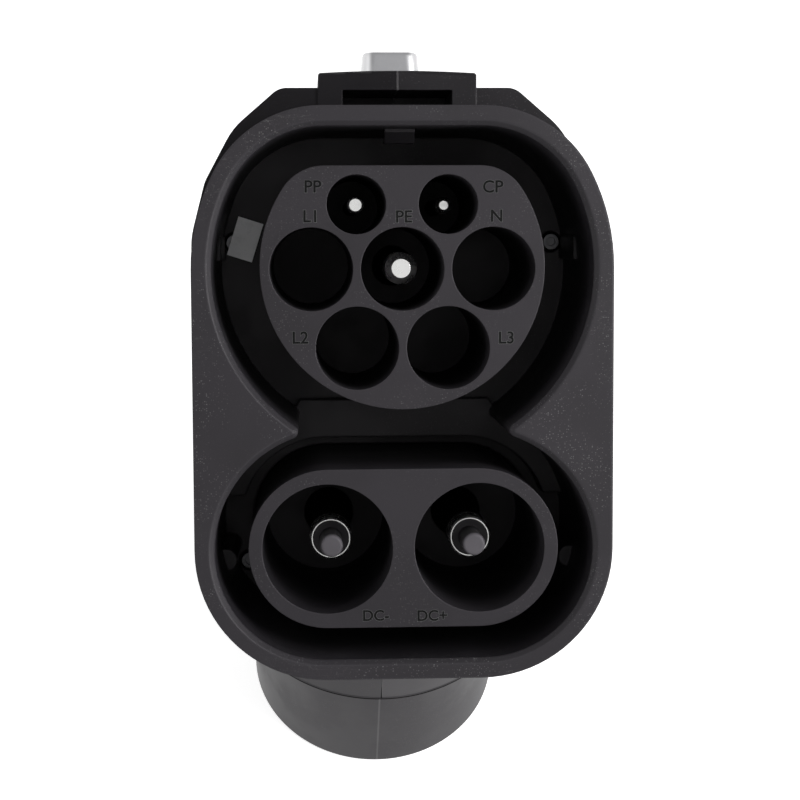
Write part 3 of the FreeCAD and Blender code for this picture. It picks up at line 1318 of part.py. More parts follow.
def main():
    os.makedirs("parts", exist_ok=True)
    board_tail = BOARD_BACK + 1
    save("inlet_shroud", placed(inlet_shroud()))
    save("ac_contact_carrier", placed(ac_contact_carrier()))
    save("dc_contact_carrier", placed(dc_contact_carrier()))
    save("ac_retainer", placed(ac_retainer()))
    save("dc_retainer", placed(dc_retainer()))
    save("earth_pin", placed(earth_pin()))
    proximity = contact_pin(-SIGNAL_X, SIGNAL_Z, SIGNAL_R, PROXIMITY_TIP, board_tail, PROXIMITY_NOSE)
    save("proximity_pin", placed(proximity))
    pilot = contact_pin(SIGNAL_X, SIGNAL_Z, SIGNAL_R, PILOT_TIP, board_tail, PILOT_NOSE)
    save("pilot_pin", placed(pilot))
    save("inlet_dc_minus_pin", placed(inlet_dc_pin(-DC_PIN_X)))
    save("inlet_dc_plus_pin", placed(inlet_dc_pin(DC_PIN_X)))
    save("inlet_touch_guards", placed(Part.makeCompound([touch_guard(-DC_PIN_X), touch_guard(DC_PIN_X)])))
    save("inlet_floor_screws", placed(floor_screws()))
    save("inspection_sticker", placed(inspection_sticker()))
    save("inlet_gasket", placed(inlet_gasket()))
    save("left_shell", left_shell())
    save("right_shell", right_shell())
    save("shell_screws", shell_screws())
    save("release_button", release_button())
    save("button_guide", button_guide())
    save("button_spring", button_spring())
    save("detent_arm", detent_arm())
    save("detent_pin", detent_pin())
    save("detent_spring", detent_spring())
    save("plug_barrel", plug_barrel())
    save("plug_contact_carrier", plug_contact_carrier())
    save("plug_retainer", plug_retainer())
    save("plug_retainer_screws", plug_retainer_screws())
    save("plug_gasket", plug_gasket())
    save("plug_dc_minus_pin", plug_dc_pin(-PLUG_DC_X))
    save("plug_dc_plus_pin", plug_dc_pin(PLUG_DC_X))
    save("plug_touch_guards", Part.makeCompound([plug_guard(-PLUG_DC_X), plug_guard(PLUG_DC_X)]))
    earth = plug_pin(*PLUG_EARTH_AT, PLUG_EARTH_R, PLUG_EARTH_TIP, PLUG_TAIL)
    save("plug_earth_pin", fused([earth, plug_collar(*PLUG_EARTH_AT, PLUG_EARTH_R)]))
    signal = [plug_pin(x, y, PLUG_SMALL_R, PLUG_SMALL_TIP, PLUG_TAIL - RUN) for x, y in SIGNAL_AT]
    save("plug_signal_pins", Part.makeCompound(signal))
    aux = [plug_pin(x, y, PLUG_SMALL_R, PLUG_SMALL_TIP, PLUG_TAIL) for x, y in AUX_AT]
    save("plug_aux_pins", Part.makeCompound(aux))
    save("latch_lever", latch_lever())
    save("latch_pivot_pin", latch_pivot_pin())
    save("latch_spring", latch_spring())
    save("control_board", control_board())
    save("board_chips", board_chips())
    save("board_header", board_header())
    save("board_screws", board_screws())
    save("battery_cell", battery_cell())
    save("dc_minus_cable", dc_cable(-DC_PIN_X))
    save("dc_plus_cable", dc_cable(DC_PIN_X))
    save("earth_cable", earth_cable())
    save("signal_harness", signal_harness())
    save("harness_plug", harness_plug())
    save("aux_leads", aux_leads())


main()
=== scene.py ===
import math

import bpy
from mathutils import Matrix, Vector


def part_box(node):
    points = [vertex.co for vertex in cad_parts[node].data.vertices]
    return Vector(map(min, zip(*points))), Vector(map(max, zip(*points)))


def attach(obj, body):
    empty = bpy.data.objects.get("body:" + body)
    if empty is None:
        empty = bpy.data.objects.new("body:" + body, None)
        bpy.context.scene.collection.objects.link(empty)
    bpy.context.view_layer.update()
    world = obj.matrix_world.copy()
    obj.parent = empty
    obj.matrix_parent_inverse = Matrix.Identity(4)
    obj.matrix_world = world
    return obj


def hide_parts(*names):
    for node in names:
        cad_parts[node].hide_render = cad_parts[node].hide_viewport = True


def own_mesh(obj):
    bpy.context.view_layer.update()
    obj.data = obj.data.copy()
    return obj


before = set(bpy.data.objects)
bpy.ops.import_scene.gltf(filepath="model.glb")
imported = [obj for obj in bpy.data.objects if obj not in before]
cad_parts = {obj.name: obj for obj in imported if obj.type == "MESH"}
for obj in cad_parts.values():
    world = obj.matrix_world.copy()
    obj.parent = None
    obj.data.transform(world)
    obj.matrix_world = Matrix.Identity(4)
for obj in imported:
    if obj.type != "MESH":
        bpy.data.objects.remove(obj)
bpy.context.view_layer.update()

bl_info = {
    "name": "Charging adapter looks",
    "version": (1, 0, 0),
    "blender": (4, 5, 0),
    "location": "3D Viewport > Sidebar > Adapter",
    "description": "Materials, contact markings and stage for a bent charging adapter",
    "category": "Object",
}

# The inlet's own frame in the standing part: X to the right, Y into the inlet, Z up, with the
# origin on the earth contact at the front of the rim. Everything is in metres.
LEAN = math.cos(math.radians(45))
INLET_AT = Vector((0.0, -0.0435578, 0.1986077))
INWARD = Vector((0.0, LEAN, -LEAN))
TOWER_FACE = 0.003

# The photograph's camera in that frame: its place, and its turns about the upright, the level and
# its own line of sight.
CAMERA_AT = (-0.01733, -0.3350, 0.00507)
CAMERA_TURNS = ((-2.834, "Y"), (-4.892, "X"), (-0.245, "Z"))

# The mouldings mirror the light a little violet, and deep in the inlet they are painted nearly black as
# painted shade.
SHEEN = (1.0, 0.96, 1.0, 1.0)
DEEP_PAINTED_SHADE = (0.0012, 0.0012, 0.0013)
DUST_GREY = (0.13, 0.127, 0.13)
SCUFF_GREY = (0.11, 0.11, 0.11)
SEAM_GREY = (0.06, 0.058, 0.06)
# Contacts turn nearly black from a depth in the inlet, as painted shade.
PIN_PAINTED_SHADE = (0.006, 0.006, 0.006)
PIN_SHADE_FADE = 0.002

# The painted light on the collar, a lighter tone, fades out between these heights, and the painted
# reflection on the button's flanks starts between these distances from the middle plane.
COLLAR_LIGHT_FADE = (0.07, 0.11)
FLANK_REFLECTION_FADE = (0.0036, 0.0046)


def inlet(x, y, z):
    """Point of the standing part for a point of the inlet's frame."""
    return INLET_AT + Vector((x, LEAN * (y + z), LEAN * (z - y)))


def facing(x, y, z):
    """Matrix for a flat piece at a point of the inlet's frame that looks out of the inlet."""
    right = Vector((1, 0, 0))
    up = Vector((0, LEAN, LEAN))
    out = right.cross(up)
    return Matrix.Translation(inlet(x, y, z)) @ Matrix((right, up, out)).transposed().to_4x4()


def add(tree, kind, **settings):
    """New shader node with its plain settings."""
    node = tree.nodes.new(kind)
    for name, value in settings.items():
        setattr(node, name, value)
    return node


def feed(tree, node, **values):
    """Sets a node's inputs: a socket is linked and anything else is its own value."""
    for name, value in values.items():
        socket = node.inputs[name.replace("_", " ")]
        if isinstance(value, bpy.types.NodeSocket):
            tree.links.new(value, socket)
        else:
            socket.default_value = value
    return node


def maths(tree, operation, first, second=0.0):
    """Result of one Math node on two sockets or numbers."""
    node = add(tree, "ShaderNodeMath", operation=operation)
    for socket, value in zip(node.inputs, (first, second)):
        if isinstance(value, bpy.types.NodeSocket):
            tree.links.new(value, socket)
        else:
            socket.default_value = value
    return node.outputs[0]


def remap(tree, value, low, high, to_low=0.0, to_high=1.0):
    """A value carried smoothly from one range to another and held at its ends."""
    node = add(tree, "ShaderNodeMapRange", interpolation_type="SMOOTHSTEP")
    feed(tree, node, Value=value, From_Min=low, From_Max=high, To_Min=to_low, To_Max=to_high)
    return node.outputs[0]


def blended(tree, share, first, second):
    """Colour between two colours, each a socket or three numbers."""
    node = add(tree, "ShaderNodeMix", data_type="RGBA")
    colours = [s for s in node.inputs if s.type == "RGBA"]
    factor = node.inputs[0]
    for socket, value in zip([factor] + colours, (share, first, second)):
        if isinstance(value, bpy.types.NodeSocket):
            tree.links.new(value, socket)
        elif socket is factor:
            socket.default_value = value
        else:
            socket.default_value = (*value, 1.0)
    return next(s for s in node.outputs if s.type == "RGBA")


def noise(tree, vector, scale, detail=2.0, roughness=0.5):
    node = add(tree, "ShaderNodeTexNoise")
    feed(tree, node, Vector=vector, Scale=scale, Detail=detail, Roughness=roughness)
    return node.outputs[0]


def stretched(tree, vector, sizes, turn=(0.0, 0.0, 0.0)):
    """Vector turned and scaled by a different amount on each axis."""
    node = add(tree, "ShaderNodeMapping")
    feed(tree, node, Vector=vector, Scale=sizes, Rotation=turn)
    return node.outputs[0]


def new_group(name, inputs, outputs):
    """Empty node group with its sockets: (name, kind, value) in and (name, kind) out."""
    group = bpy.data.node_groups.new(name, "ShaderNodeTree")
    for socket_name, kind, value in inputs:
        socket = group.interface.new_socket(socket_name, in_out="INPUT", socket_type=kind)
        if value is not None:
            socket.default_value = value
    for socket_name, kind in outputs:
        group.interface.new_socket(socket_name, in_out="OUTPUT", socket_type=kind)
    return group, add(group, "NodeGroupInput").outputs, add(group, "NodeGroupOutput").inputs


def grain_group():
    """Spark-eroded mould texture: fine height, and slow clouds in the tone."""
    group, given, result = new_group(
        "mould_grain",
        [("Vector", "NodeSocketVector", None), ("Size", "NodeSocketFloat", 3200.0)],
        [("Height", "NodeSocketFloat"), ("Clouds", "NodeSocketFloat")],
    )
    fine = noise(group, given["Vector"], given["Size"], 3.0, 0.6)
    coarse = noise(group, given["Vector"], maths(group, "MULTIPLY", given["Size"], 0.3), 2.0)
    height = maths(group, "ADD", maths(group, "MULTIPLY", fine, 0.7), maths(group, "MULTIPLY", coarse, 0.3))
    clouds = noise(group, given["Vector"], maths(group, "MULTIPLY", given["Size"], 0.015), 4.0, 0.6)
    group.links.new(height, result["Height"])
    group.links.new(remap(group, clouds, 0.35, 0.65), result["Clouds"])
    return group


def handling_group():
    """Traces of handling: scattered dust specks, hairline scuffs and rubbed patches."""
    group, given, result = new_group(
        "handling",
        [("Vector", "NodeSocketVector", None)],
        [("Dust", "NodeSocketFloat"), ("Scuffs", "NodeSocketFloat"), ("Rubbed", "NodeSocketFloat")],
    )
    patches = remap(group, noise(group, given["Vector"], 90.0, 3.0, 0.6), 0.45, 0.62, 0.08, 1.0)
    dust = 0.0
    for scale, rarity, spread in ((1500, 0.8, 0.8), (3200, 0.45, 0.75)):
        cells = add(group, "ShaderNodeTexVoronoi")
        feed(group, cells, Vector=given["Vector"], Scale=scale)
        chosen = add(group, "ShaderNodeSeparateColor")
        group.links.new(cells.outputs["Color"], chosen.inputs[0])
        speck = maths(group, "MULTIPLY", maths(group, "SUBTRACT", chosen.outputs[0], rarity), spread)
        near = remap(group, maths(group, "SUBTRACT", speck, cells.outputs["Distance"]), 0.0, 0.04)
        dust = maths(group, "MAXIMUM", dust, near)
    scuffs = 0.0
    for turn, sizes in (((0.3, 0.2, 0.5), (60, 900, 400)), ((1.1, 0.4, 2.0), (700, 50, 500))):
        strokes = noise(group, stretched(group, given["Vector"], sizes, turn), 1.0, 2.0, 0.7)
        off = maths(group, "ABSOLUTE", maths(group, "SUBTRACT", strokes, 0.5))
        scuffs = maths(group, "MAXIMUM", scuffs, remap(group, off, 0.004, 0.0))
    where = remap(group, noise(group, given["Vector"], 45.0, 2.0), 0.5, 0.66)
    rubbed = remap(group, noise(group, given["Vector"], 120.0, 5.0, 0.7), 0.5, 0.72)
    group.links.new(maths(group, "MULTIPLY", dust, patches), result["Dust"])
    group.links.new(maths(group, "MULTIPLY", scuffs, where), result["Scuffs"])
    group.links.new(rubbed, result["Rubbed"])
    return group


def edge_group():
    """Edges as the mould leaves them: a small round, and a mask of each edge, which the mouldings lighten
    for rubbing and as a painted highlight.
    """
    group, given, result = new_group(
        "moulded_edges",
        [("Radius", "NodeSocketFloat", 0.0003)],
        [("Normal", "NodeSocketVector"), ("Edge", "NodeSocketFloat")],
    )
    bevel = add(group, "ShaderNodeBevel", samples=6)
    group.links.new(given["Radius"], bevel.inputs["Radius"])
    surface = add(group, "ShaderNodeNewGeometry")
    agree = add(group, "ShaderNodeVectorMath", operation="DOT_PRODUCT")
    group.links.new(bevel.outputs[0], agree.inputs[0])
    group.links.new(surface.outputs["Normal"], agree.inputs[1])
    group.links.new(bevel.outputs[0], result["Normal"])
    group.links.new(remap(group, agree.outputs["Value"], 0.995, 0.9), result["Edge"])
    return group


def brushed_group():
    """Fine lines along one direction, for plated and brushed metal."""
    group, given, result = new_group(
        "brushed_lines",
        [("Vector", "NodeSocketVector", None), ("Turn", "NodeSocketVector", (0.0, 0.0, 0.0))],
        [("Lines", "NodeSocketFloat"), ("Smears", "NodeSocketFloat")],
    )
    lined = stretched(group, given["Vector"], (9000, 9000, 300), given["Turn"])
    group.links.new(noise(group, lined, 1.0, 3.0, 0.6), result["Lines"])
    group.links.new(remap(group, noise(group, given["Vector"], 400.0, 3.0), 0.4, 0.65), result["Smears"])
    return group


def depth_group():
    """How far a point lies in the inlet: 0 at the exposed faces and 1 deep inside."""
    group, given, result = new_group(
        "inlet_depth",
        [("Vector", "NodeSocketVector", None), ("Start", "NodeSocketFloat", 0.006),
         ("End", "NodeSocketFloat", 0.024)],
        [("Deep", "NodeSocketFloat")],
    )
    along = add(group, "ShaderNodeVectorMath", operation="DOT_PRODUCT")
    group.links.new(given["Vector"], along.inputs[0])
    along.inputs[1].default_value = INWARD
    depth = maths(group, "SUBTRACT", along.outputs["Value"], INLET_AT.dot(INWARD))
    group.links.new(remap(group, depth, given["Start"], given["End"]), result["Deep"])
    return group


def shared_groups():
    """The node groups that materials share, made once."""
    makers = {
        "mould_grain": grain_group, "handling": handling_group,
        "moulded_edges": edge_group, "brushed_lines": brushed_group, "inlet_depth": depth_group,
    }
    return {name: bpy.data.node_groups.get(name) or make() for name, make in makers.items()}


def use(tree, name, **values):
    """A shared group inside a material."""
    node = add(tree, "ShaderNodeGroup", node_tree=shared_groups()[name])
    return feed(tree, node, **values).outputs


def start_material(name):
    """Node material with a clean Principled shader, its tree and the object's own coordinates."""
    material = bpy.data.materials.new(name)
    material.use_nodes = True
    tree = material.node_tree
    shader = tree.nodes["Principled BSDF"]
    return material, tree, shader, add(tree, "ShaderNodeTexCoord").outputs["Object"]


def bumped(tree, height, distance, normal=None):
    node = add(tree, "ShaderNodeBump")
    feed(tree, node, Height=height, Distance=distance, Strength=1.0)
    if normal is not None:
        tree.links.new(normal, node.inputs["Normal"])
    return node.outputs[0]


def moulded(name, colour, roughness, grain=0.00002, dust=0.5, scuffs=0.3, edge=0.0003, seam=0.0,
            gloss=0.5, edge_highlight=0.0, deep=None, foot_painted_light=None):
    """Black moulded plastic: grain, dust, scuffs, and edges lighter from rubbing and from a painted
    highlight.
    It may have a pale parting line at X = 0. deep gives the depths in the inlet between which it turns
    black as painted shade, and foot_painted_light the heights between which its foot turns to another tone
    as painted light, with that tone."""
    material, tree, shader, place = start_material(name)
    finish = bpy.context.scene.adapter_finish
    texture = use(tree, "mould_grain", Vector=place, Size=finish.grain_size)
    marks = use(tree, "handling", Vector=place)
    edges = use(tree, "moulded_edges", Radius=edge)
    light = [min(1.0, c * 1.35) for c in colour]
    worn_and_highlit = [min(1.0, c * 2.6 + 0.01) for c in colour]
    tone = blended(tree, texture["Clouds"], colour, light)
    apart = add(tree, "ShaderNodeSeparateXYZ")
    tree.links.new(place, apart.inputs[0])
    # Painted light: the housing's foot turns to a lighter tone, as lit from below.
    if foot_painted_light:
        low, high, shade = foot_painted_light
        tone = blended(tree, remap(tree, apart.outputs[2], high, low), tone, shade)
    # Painted highlight: every edge is lightened by at least edge_highlight, and more where rubbed.
    rubbed = remap(tree, marks["Rubbed"], 0.0, 1.0, edge_highlight, 1.0)
    rub_and_highlight = maths(tree, "MULTIPLY", maths(tree, "MULTIPLY", edges["Edge"], rubbed), finish.wear_and_edge_highlight)
    tone = blended(tree, rub_and_highlight, tone, worn_and_highlit)
    tone = blended(tree, maths(tree, "MULTIPLY", marks["Scuffs"], scuffs * finish.wear_and_edge_highlight), tone, SCUFF_GREY)
    tone = blended(tree, maths(tree, "MULTIPLY", marks["Dust"], dust * finish.dust), tone, DUST_GREY)
    # Painted shade: the moulding turns nearly black deep in the inlet.
    if deep:
        inside = use(tree, "inlet_depth", Vector=place, Start=deep[0], End=deep[1])["Deep"]
        tone = blended(tree, maths(tree, "MULTIPLY", inside, 0.85), tone, DEEP_PAINTED_SHADE)
    height = texture["Height"]
    if seam:
        near = remap(tree, maths(tree, "ABSOLUTE", apart.outputs[0]), seam, seam * 0.4)
        tone = blended(tree, near, tone, SEAM_GREY)
        height = maths(tree, "ADD", height, maths(tree, "MULTIPLY", near, 3.0))
    rough = remap(tree, texture["Clouds"], 0.0, 1.0, roughness - 0.04, roughness + 0.05)
    rough = maths(tree, "SUBTRACT", rough, maths(tree, "MULTIPLY", rub_and_highlight, 0.12))
    normal = bumped(tree, height, grain, edges["Normal"])
    feed(tree, shader, Base_Color=tone, Roughness=rough, Normal=normal, Specular_IOR_Level=gloss)
    feed(tree, shader, Specular_Tint=SHEEN)
    return material


def metal(name, colour, roughness, turn=(0.0, 0.0, 0.0), tarnish=0.15, edge=0.00015, lines=0.000004,
          pin_shade_depth=None, flanks=None):
    """Plated or brushed metal with fine lines and faint smears. pin_shade_depth gives the depth in the
    inlet from which a contact is painted black as painted shade, and flanks the distances from the middle
    plane between which a button turns to a lighter tone as a painted reflection, with that tone."""
    material, tree, shader, place = start_material(name)
    brush = use(tree, "brushed_lines", Vector=place, Turn=turn)
    edges = use(tree, "moulded_edges", Radius=edge)
    dull = [c * 0.72 for c in colour]
    tone = blended(tree, maths(tree, "MULTIPLY", brush["Smears"], tarnish), colour, dull)
    # Painted shade: a contact turns black from pin_shade_depth into the inlet.
    if pin_shade_depth:
        inside = use(tree, "inlet_depth", Vector=place, Start=pin_shade_depth, End=pin_shade_depth + PIN_SHADE_FADE)["Deep"]
        tone = blended(tree, inside, tone, PIN_PAINTED_SHADE)
    # Painted reflection: the button's flanks turn to a lighter tone.
    if flanks:
        start, end, painted_reflection = flanks
        apart = add(tree, "ShaderNodeSeparateXYZ")
        tree.links.new(place, apart.inputs[0])
        aside = maths(tree, "ABSOLUTE", apart.outputs[0])
        tone = blended(tree, remap(tree, aside, start, end), tone, painted_reflection)
    rough = remap(tree, brush["Smears"], 0.0, 1.0, roughness, roughness + 0.1)
    if pin_shade_depth:
        rough = maths(tree, "MAXIMUM", rough, inside)
    normal = bumped(tree, brush["Lines"], lines, edges["Normal"])
    feed(tree, shader, Base_Color=tone, Roughness=rough, Normal=normal, Metallic=1.0)
    return material


def soft(name, colour, roughness, ribs=0.0):
    """Rubber or cable jacket: fine grain and, for a cable, faint rings from extrusion."""
    material, tree, shader, place = start_material(name)
    texture = use(tree, "mould_grain", Vector=place, Size=2200.0)
    tone = blended(tree, texture["Clouds"], colour, [min(1.0, c * 1.25 + 0.004) for c in colour])
    height = texture["Height"]
    if ribs:
        rings = add(tree, "ShaderNodeTexWave", bands_direction="Z")
        feed(tree, rings, Vector=place, Scale=ribs, Distortion=1.5)
        height = maths(tree, "ADD", height, maths(tree, "MULTIPLY", rings.outputs[1], 0.6))
    feed(tree, shader, Base_Color=tone, Roughness=roughness, Normal=bumped(tree, height, 0.00002))
    return material


def laminate(mask, traced):
    """Circuit board: solder mask over traces, seen as a slightly raised lighter pattern."""
    material, tree, shader, place = start_material("board_laminate")
    bricks = add(tree, "ShaderNodeTexBrick", offset=0.37, squash=1.6)
    feed(tree, bricks, Vector=place, Scale=260.0, Mortar_Size=0.03, Color1=(0, 0, 0, 1),
         Color2=(0, 0, 0, 1), Mortar=(1, 1, 1, 1))
    traces = bricks.outputs["Fac"]
    tone = blended(tree, traces, mask, traced)
    feed(tree, shader, Base_Color=tone, Roughness=0.28, Normal=bumped(tree, traces, 0.00003))
    return material


def wrapped_can(wrap, shrunk, band=0.004):
    """Cell in shrink wrap, with a darker shrunken band at each end."""
    material, tree, shader, place = start_material("cell_wrap")
    low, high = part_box("battery_cell")
    texture = use(tree, "mould_grain", Vector=place, Size=900.0)
    height = add(tree, "ShaderNodeSeparateXYZ")
    tree.links.new(place, height.inputs[0])
    middle = (low.z + high.z) / 2
    half = (high.z - low.z) / 2
    out = maths(tree, "ABSOLUTE", maths(tree, "SUBTRACT", height.outputs[2], middle))
    end = remap(tree, out, half - band, half - band / 2)
    tone = blended(tree, end, wrap, shrunk)
    feed(tree, shader, Base_Color=tone, Roughness=0.35, Normal=bumped(tree, texture["Height"], 0.00003))
    return material


def paper(thin, thick, stained):
    """Bare satin sticker, soiled a little."""
    material, tree, shader, place = start_material("sticker_paper")
    texture = use(tree, "mould_grain", Vector=place, Size=2600.0)
    stains = remap(tree, noise(tree, place, 500.0, 4.0, 0.7), 0.45, 0.75)
    tone = blended(tree, texture["Clouds"], thin, thick)
    tone = blended(tree, maths(tree, "MULTIPLY", stains, 0.2), tone, stained)
    feed(tree, shader, Base_Color=tone, Roughness=0.3, Normal=bumped(tree, texture["Height"], 0.000006))
    feed(tree, shader, Specular_IOR_Level=1.0)
    return material


def mottled(name, low, high, roughness, gloss):
    """Plain plastic between two tones, for the engraved letters' painted shade and painted highlight, and
    the painted shadow lines at the joints.
    """
    material, tree, shader, place = start_material(name)
    texture = use(tree, "mould_grain", Vector=place, Size=5000.0)
    tone = blended(tree, texture["Clouds"], low, high)
    normal = bumped(tree, texture["Height"], 0.00001)
    feed(tree, shader, Base_Color=tone, Roughness=roughness, Normal=normal, Specular_IOR_Level=gloss)
    return material


def dress(material, *nodes):
    """Gives CAD nodes a material."""
    for name in nodes:
        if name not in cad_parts:
            raise RuntimeError("the frame has no node " + name)
        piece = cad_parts[name]
        if not piece.material_slots:
            piece.data.materials.append(material)
        for place in piece.material_slots:
            place.material = material


def colour_setting(name, description, default):
    """Property for one linear colour."""
    return bpy.props.FloatVectorProperty(
        name=name, description=description, default=default, size=3, min=0.0, max=1.0, subtype="COLOR")


class AdapterColours(bpy.types.PropertyGroup):
    """Colours of the adapter's pieces."""
    shroud: colour_setting("Shroud", "Moulding round the inlet", (0.0105, 0.0095, 0.0115))
    towers: colour_setting("Towers", "Contact carriers of both ends", (0.0125, 0.0113, 0.0135))
    shells: colour_setting("Shells", "Both halves of the housing", (0.006, 0.0055, 0.0065))
    # The collar tone is painted light on the housing's foot.
    collar: colour_setting("Collar", "Paler foot of the housing", (0.043, 0.041, 0.044))
    barrel: colour_setting("Barrel", "Round barrel of the plug end", (0.0105, 0.0095, 0.0112))
    inner: colour_setting("Inner plastic", "Retainers, guide and detent arm", (0.012, 0.011, 0.0125))
    inlet_guards: colour_setting("Inlet guards", "Touch guards on the inlet's pins", (0.085, 0.08, 0.088))
    plug_guards: colour_setting("Plug guards", "Touch guards on the plug's pins", (0.04, 0.038, 0.042))
    inlet_pins: colour_setting("Inlet pins", "Plating of the inlet's contacts", (0.66, 0.66, 0.65))
    plug_pins: colour_setting("Plug pins", "Plating of the plug's contacts", (0.80, 0.79, 0.76))
    button: colour_setting("Button", "Plated top of the release button", (0.31, 0.31, 0.32))
    # The flanks tone is a painted reflection on the button's sides.
    flanks: colour_setting("Button flanks", "Polished sides of the button", (0.68, 0.68, 0.69))
    lever: colour_setting("Lever", "Steel of the latch lever", (0.5, 0.5, 0.51))
    floor_screws: colour_setting("Floor screws", "Blackened screws in the inlet", (0.09, 0.09, 0.095))
    screws: colour_setting("Screws", "Steel of the other screws and pins", (0.42, 0.42, 0.43))
    springs: colour_setting("Springs", "Steel of the springs", (0.55, 0.55, 0.56))
    seals: colour_setting("Seals", "Rubber of both gaskets", (0.01, 0.01, 0.01))
    mask: colour_setting("Board", "Solder mask of the board", (0.008, 0.07, 0.025))
    traces: colour_setting("Traces", "Solder mask over the traces", (0.02, 0.14, 0.05))
    chips: colour_setting("Chips", "Plastic of the chips", (0.015, 0.015, 0.016))
    header: colour_setting("Header", "Nylon of the header and its plug", (0.55, 0.52, 0.45))
    wrap: colour_setting("Cell wrap", "Shrink wrap of the cell", (0.02, 0.09, 0.32))
    shrunk: colour_setting("Shrunk wrap", "Wrap at the ends of the cell", (0.01, 0.03, 0.10))
    minus_cable: colour_setting("Minus cable", "Jacket of the minus cable", (0.012, 0.012, 0.012))
    plus_cable: colour_setting("Plus cable", "Jacket of the plus cable", (0.72, 0.17, 0.02))
    earth_cable: colour_setting("Earth cable", "Jacket of the earth cable", (0.07, 0.26, 0.05))
    leads: colour_setting("Leads", "Jackets of the small leads", (0.16, 0.16, 0.17))
    sticker: colour_setting("Sticker", "Darker tone of the bare sticker", (0.80, 0.80, 0.82))
    sticker_light: colour_setting("Sticker light", "Lighter tone of the sticker", (0.88, 0.88, 0.90))
    stain: colour_setting("Stain", "Stains on the sticker", (0.30, 0.30, 0.31))


class AdapterFinish(bpy.types.PropertyGroup):
    """How the adapter's surfaces look."""
    grain_size: bpy.props.FloatProperty(
        name="Grain", description="Grains of the mould texture per metre", default=3200.0, min=500.0)
    dust: bpy.props.FloatProperty(
        name="Dust", description="How much dust lies on the mouldings", default=0.6, min=0.0, max=2.0)
    # Also scales the painted highlight on the mouldings' edges.
    wear_and_edge_highlight: bpy.props.FloatProperty(
        name="Wear", description="How much edges and faces are rubbed", default=0.7, min=0.0, max=2.0)


class AdapterMarkings(bpy.types.PropertyGroup):
    """The contact markings on the towers."""
    letter_size: bpy.props.FloatProperty(
        name="Letter size", description="Type size of the upper markings", default=0.0031,
        subtype="DISTANCE", unit="LENGTH")
    lower_size: bpy.props.FloatProperty(
        name="Lower letter size", description="Type size of the lower markings", default=0.0028,
        subtype="DISTANCE", unit="LENGTH")
    weight: bpy.props.FloatProperty(
        name="Weight", description="How much the strokes are thickened on each side", default=0.00006,
        subtype="DISTANCE", unit="LENGTH")
    # The lip is a painted highlight round each letter.
    lip: bpy.props.FloatProperty(
        name="Lip", description="Width of the pale lip round each letter", default=0.00006,
        subtype="DISTANCE", unit="LENGTH")
    depth: bpy.props.FloatProperty(
        name="Depth", description="Thickness of the markings' inlay", default=0.00008,
        subtype="DISTANCE", unit="LENGTH")


class AdapterJoints(bpy.types.PropertyGroup):
    """The painted shadow lines at the collar's joints."""
    # The dark line and the band above it are painted shadow at the collar's edge.
    line_height: bpy.props.FloatProperty(
        name="Line height", description="Height of the dark line at the collar's edge", default=0.00042,
        subtype="DISTANCE", unit="LENGTH")
    shadow_band_height: bpy.props.FloatProperty(
        name="Soil height", description="Height of the soiled band over that line", default=0.00108,
        subtype="DISTANCE", unit="LENGTH")
    proud: bpy.props.FloatProperty(
        name="Proud", description="How far the lines lie over the surface", default=0.00002,
        subtype="DISTANCE", unit="LENGTH")
    seam_width: bpy.props.FloatProperty(
        name="Seam width", description="Width of the line between the shells", default=0.0003,
        subtype="DISTANCE", unit="LENGTH")
    seam_start: bpy.props.FloatProperty(
        name="Seam start", description="Height over the collar's edge at which the seam starts",
        default=0.0006, subtype="DISTANCE", unit="LENGTH")
    seam_top: bpy.props.FloatProperty(
        name="Seam top", description="Height at which the seam runs out under the shroud", default=0.066,
        subtype="DISTANCE", unit="LENGTH")


class AdapterStage(bpy.types.PropertyGroup):
    """Camera and light."""
    lens: bpy.props.FloatProperty(
        name="Lens", description="Focal length in millimetres", default=83.64, min=10.0)
    key_power: bpy.props.FloatProperty(
        name="Key", description="Power of the front lamp", default=0.45, min=0.0, subtype="POWER")
    left_power: bpy.props.FloatProperty(
        name="Left", description="Power of the left lamp", default=0.9, min=0.0, subtype="POWER")
    right_power: bpy.props.FloatProperty(
        name="Right", description="Power of the right lamp", default=3.0, min=0.0, subtype="POWER")
    near_power: bpy.props.FloatProperty(
        name="Near", description="Power of the near lamp on the right", default=1.1, min=0.0,
        subtype="POWER")
    sky: bpy.props.FloatProperty(
        name="Sky", description="Light from the white surroundings", default=0.35, min=0.0)


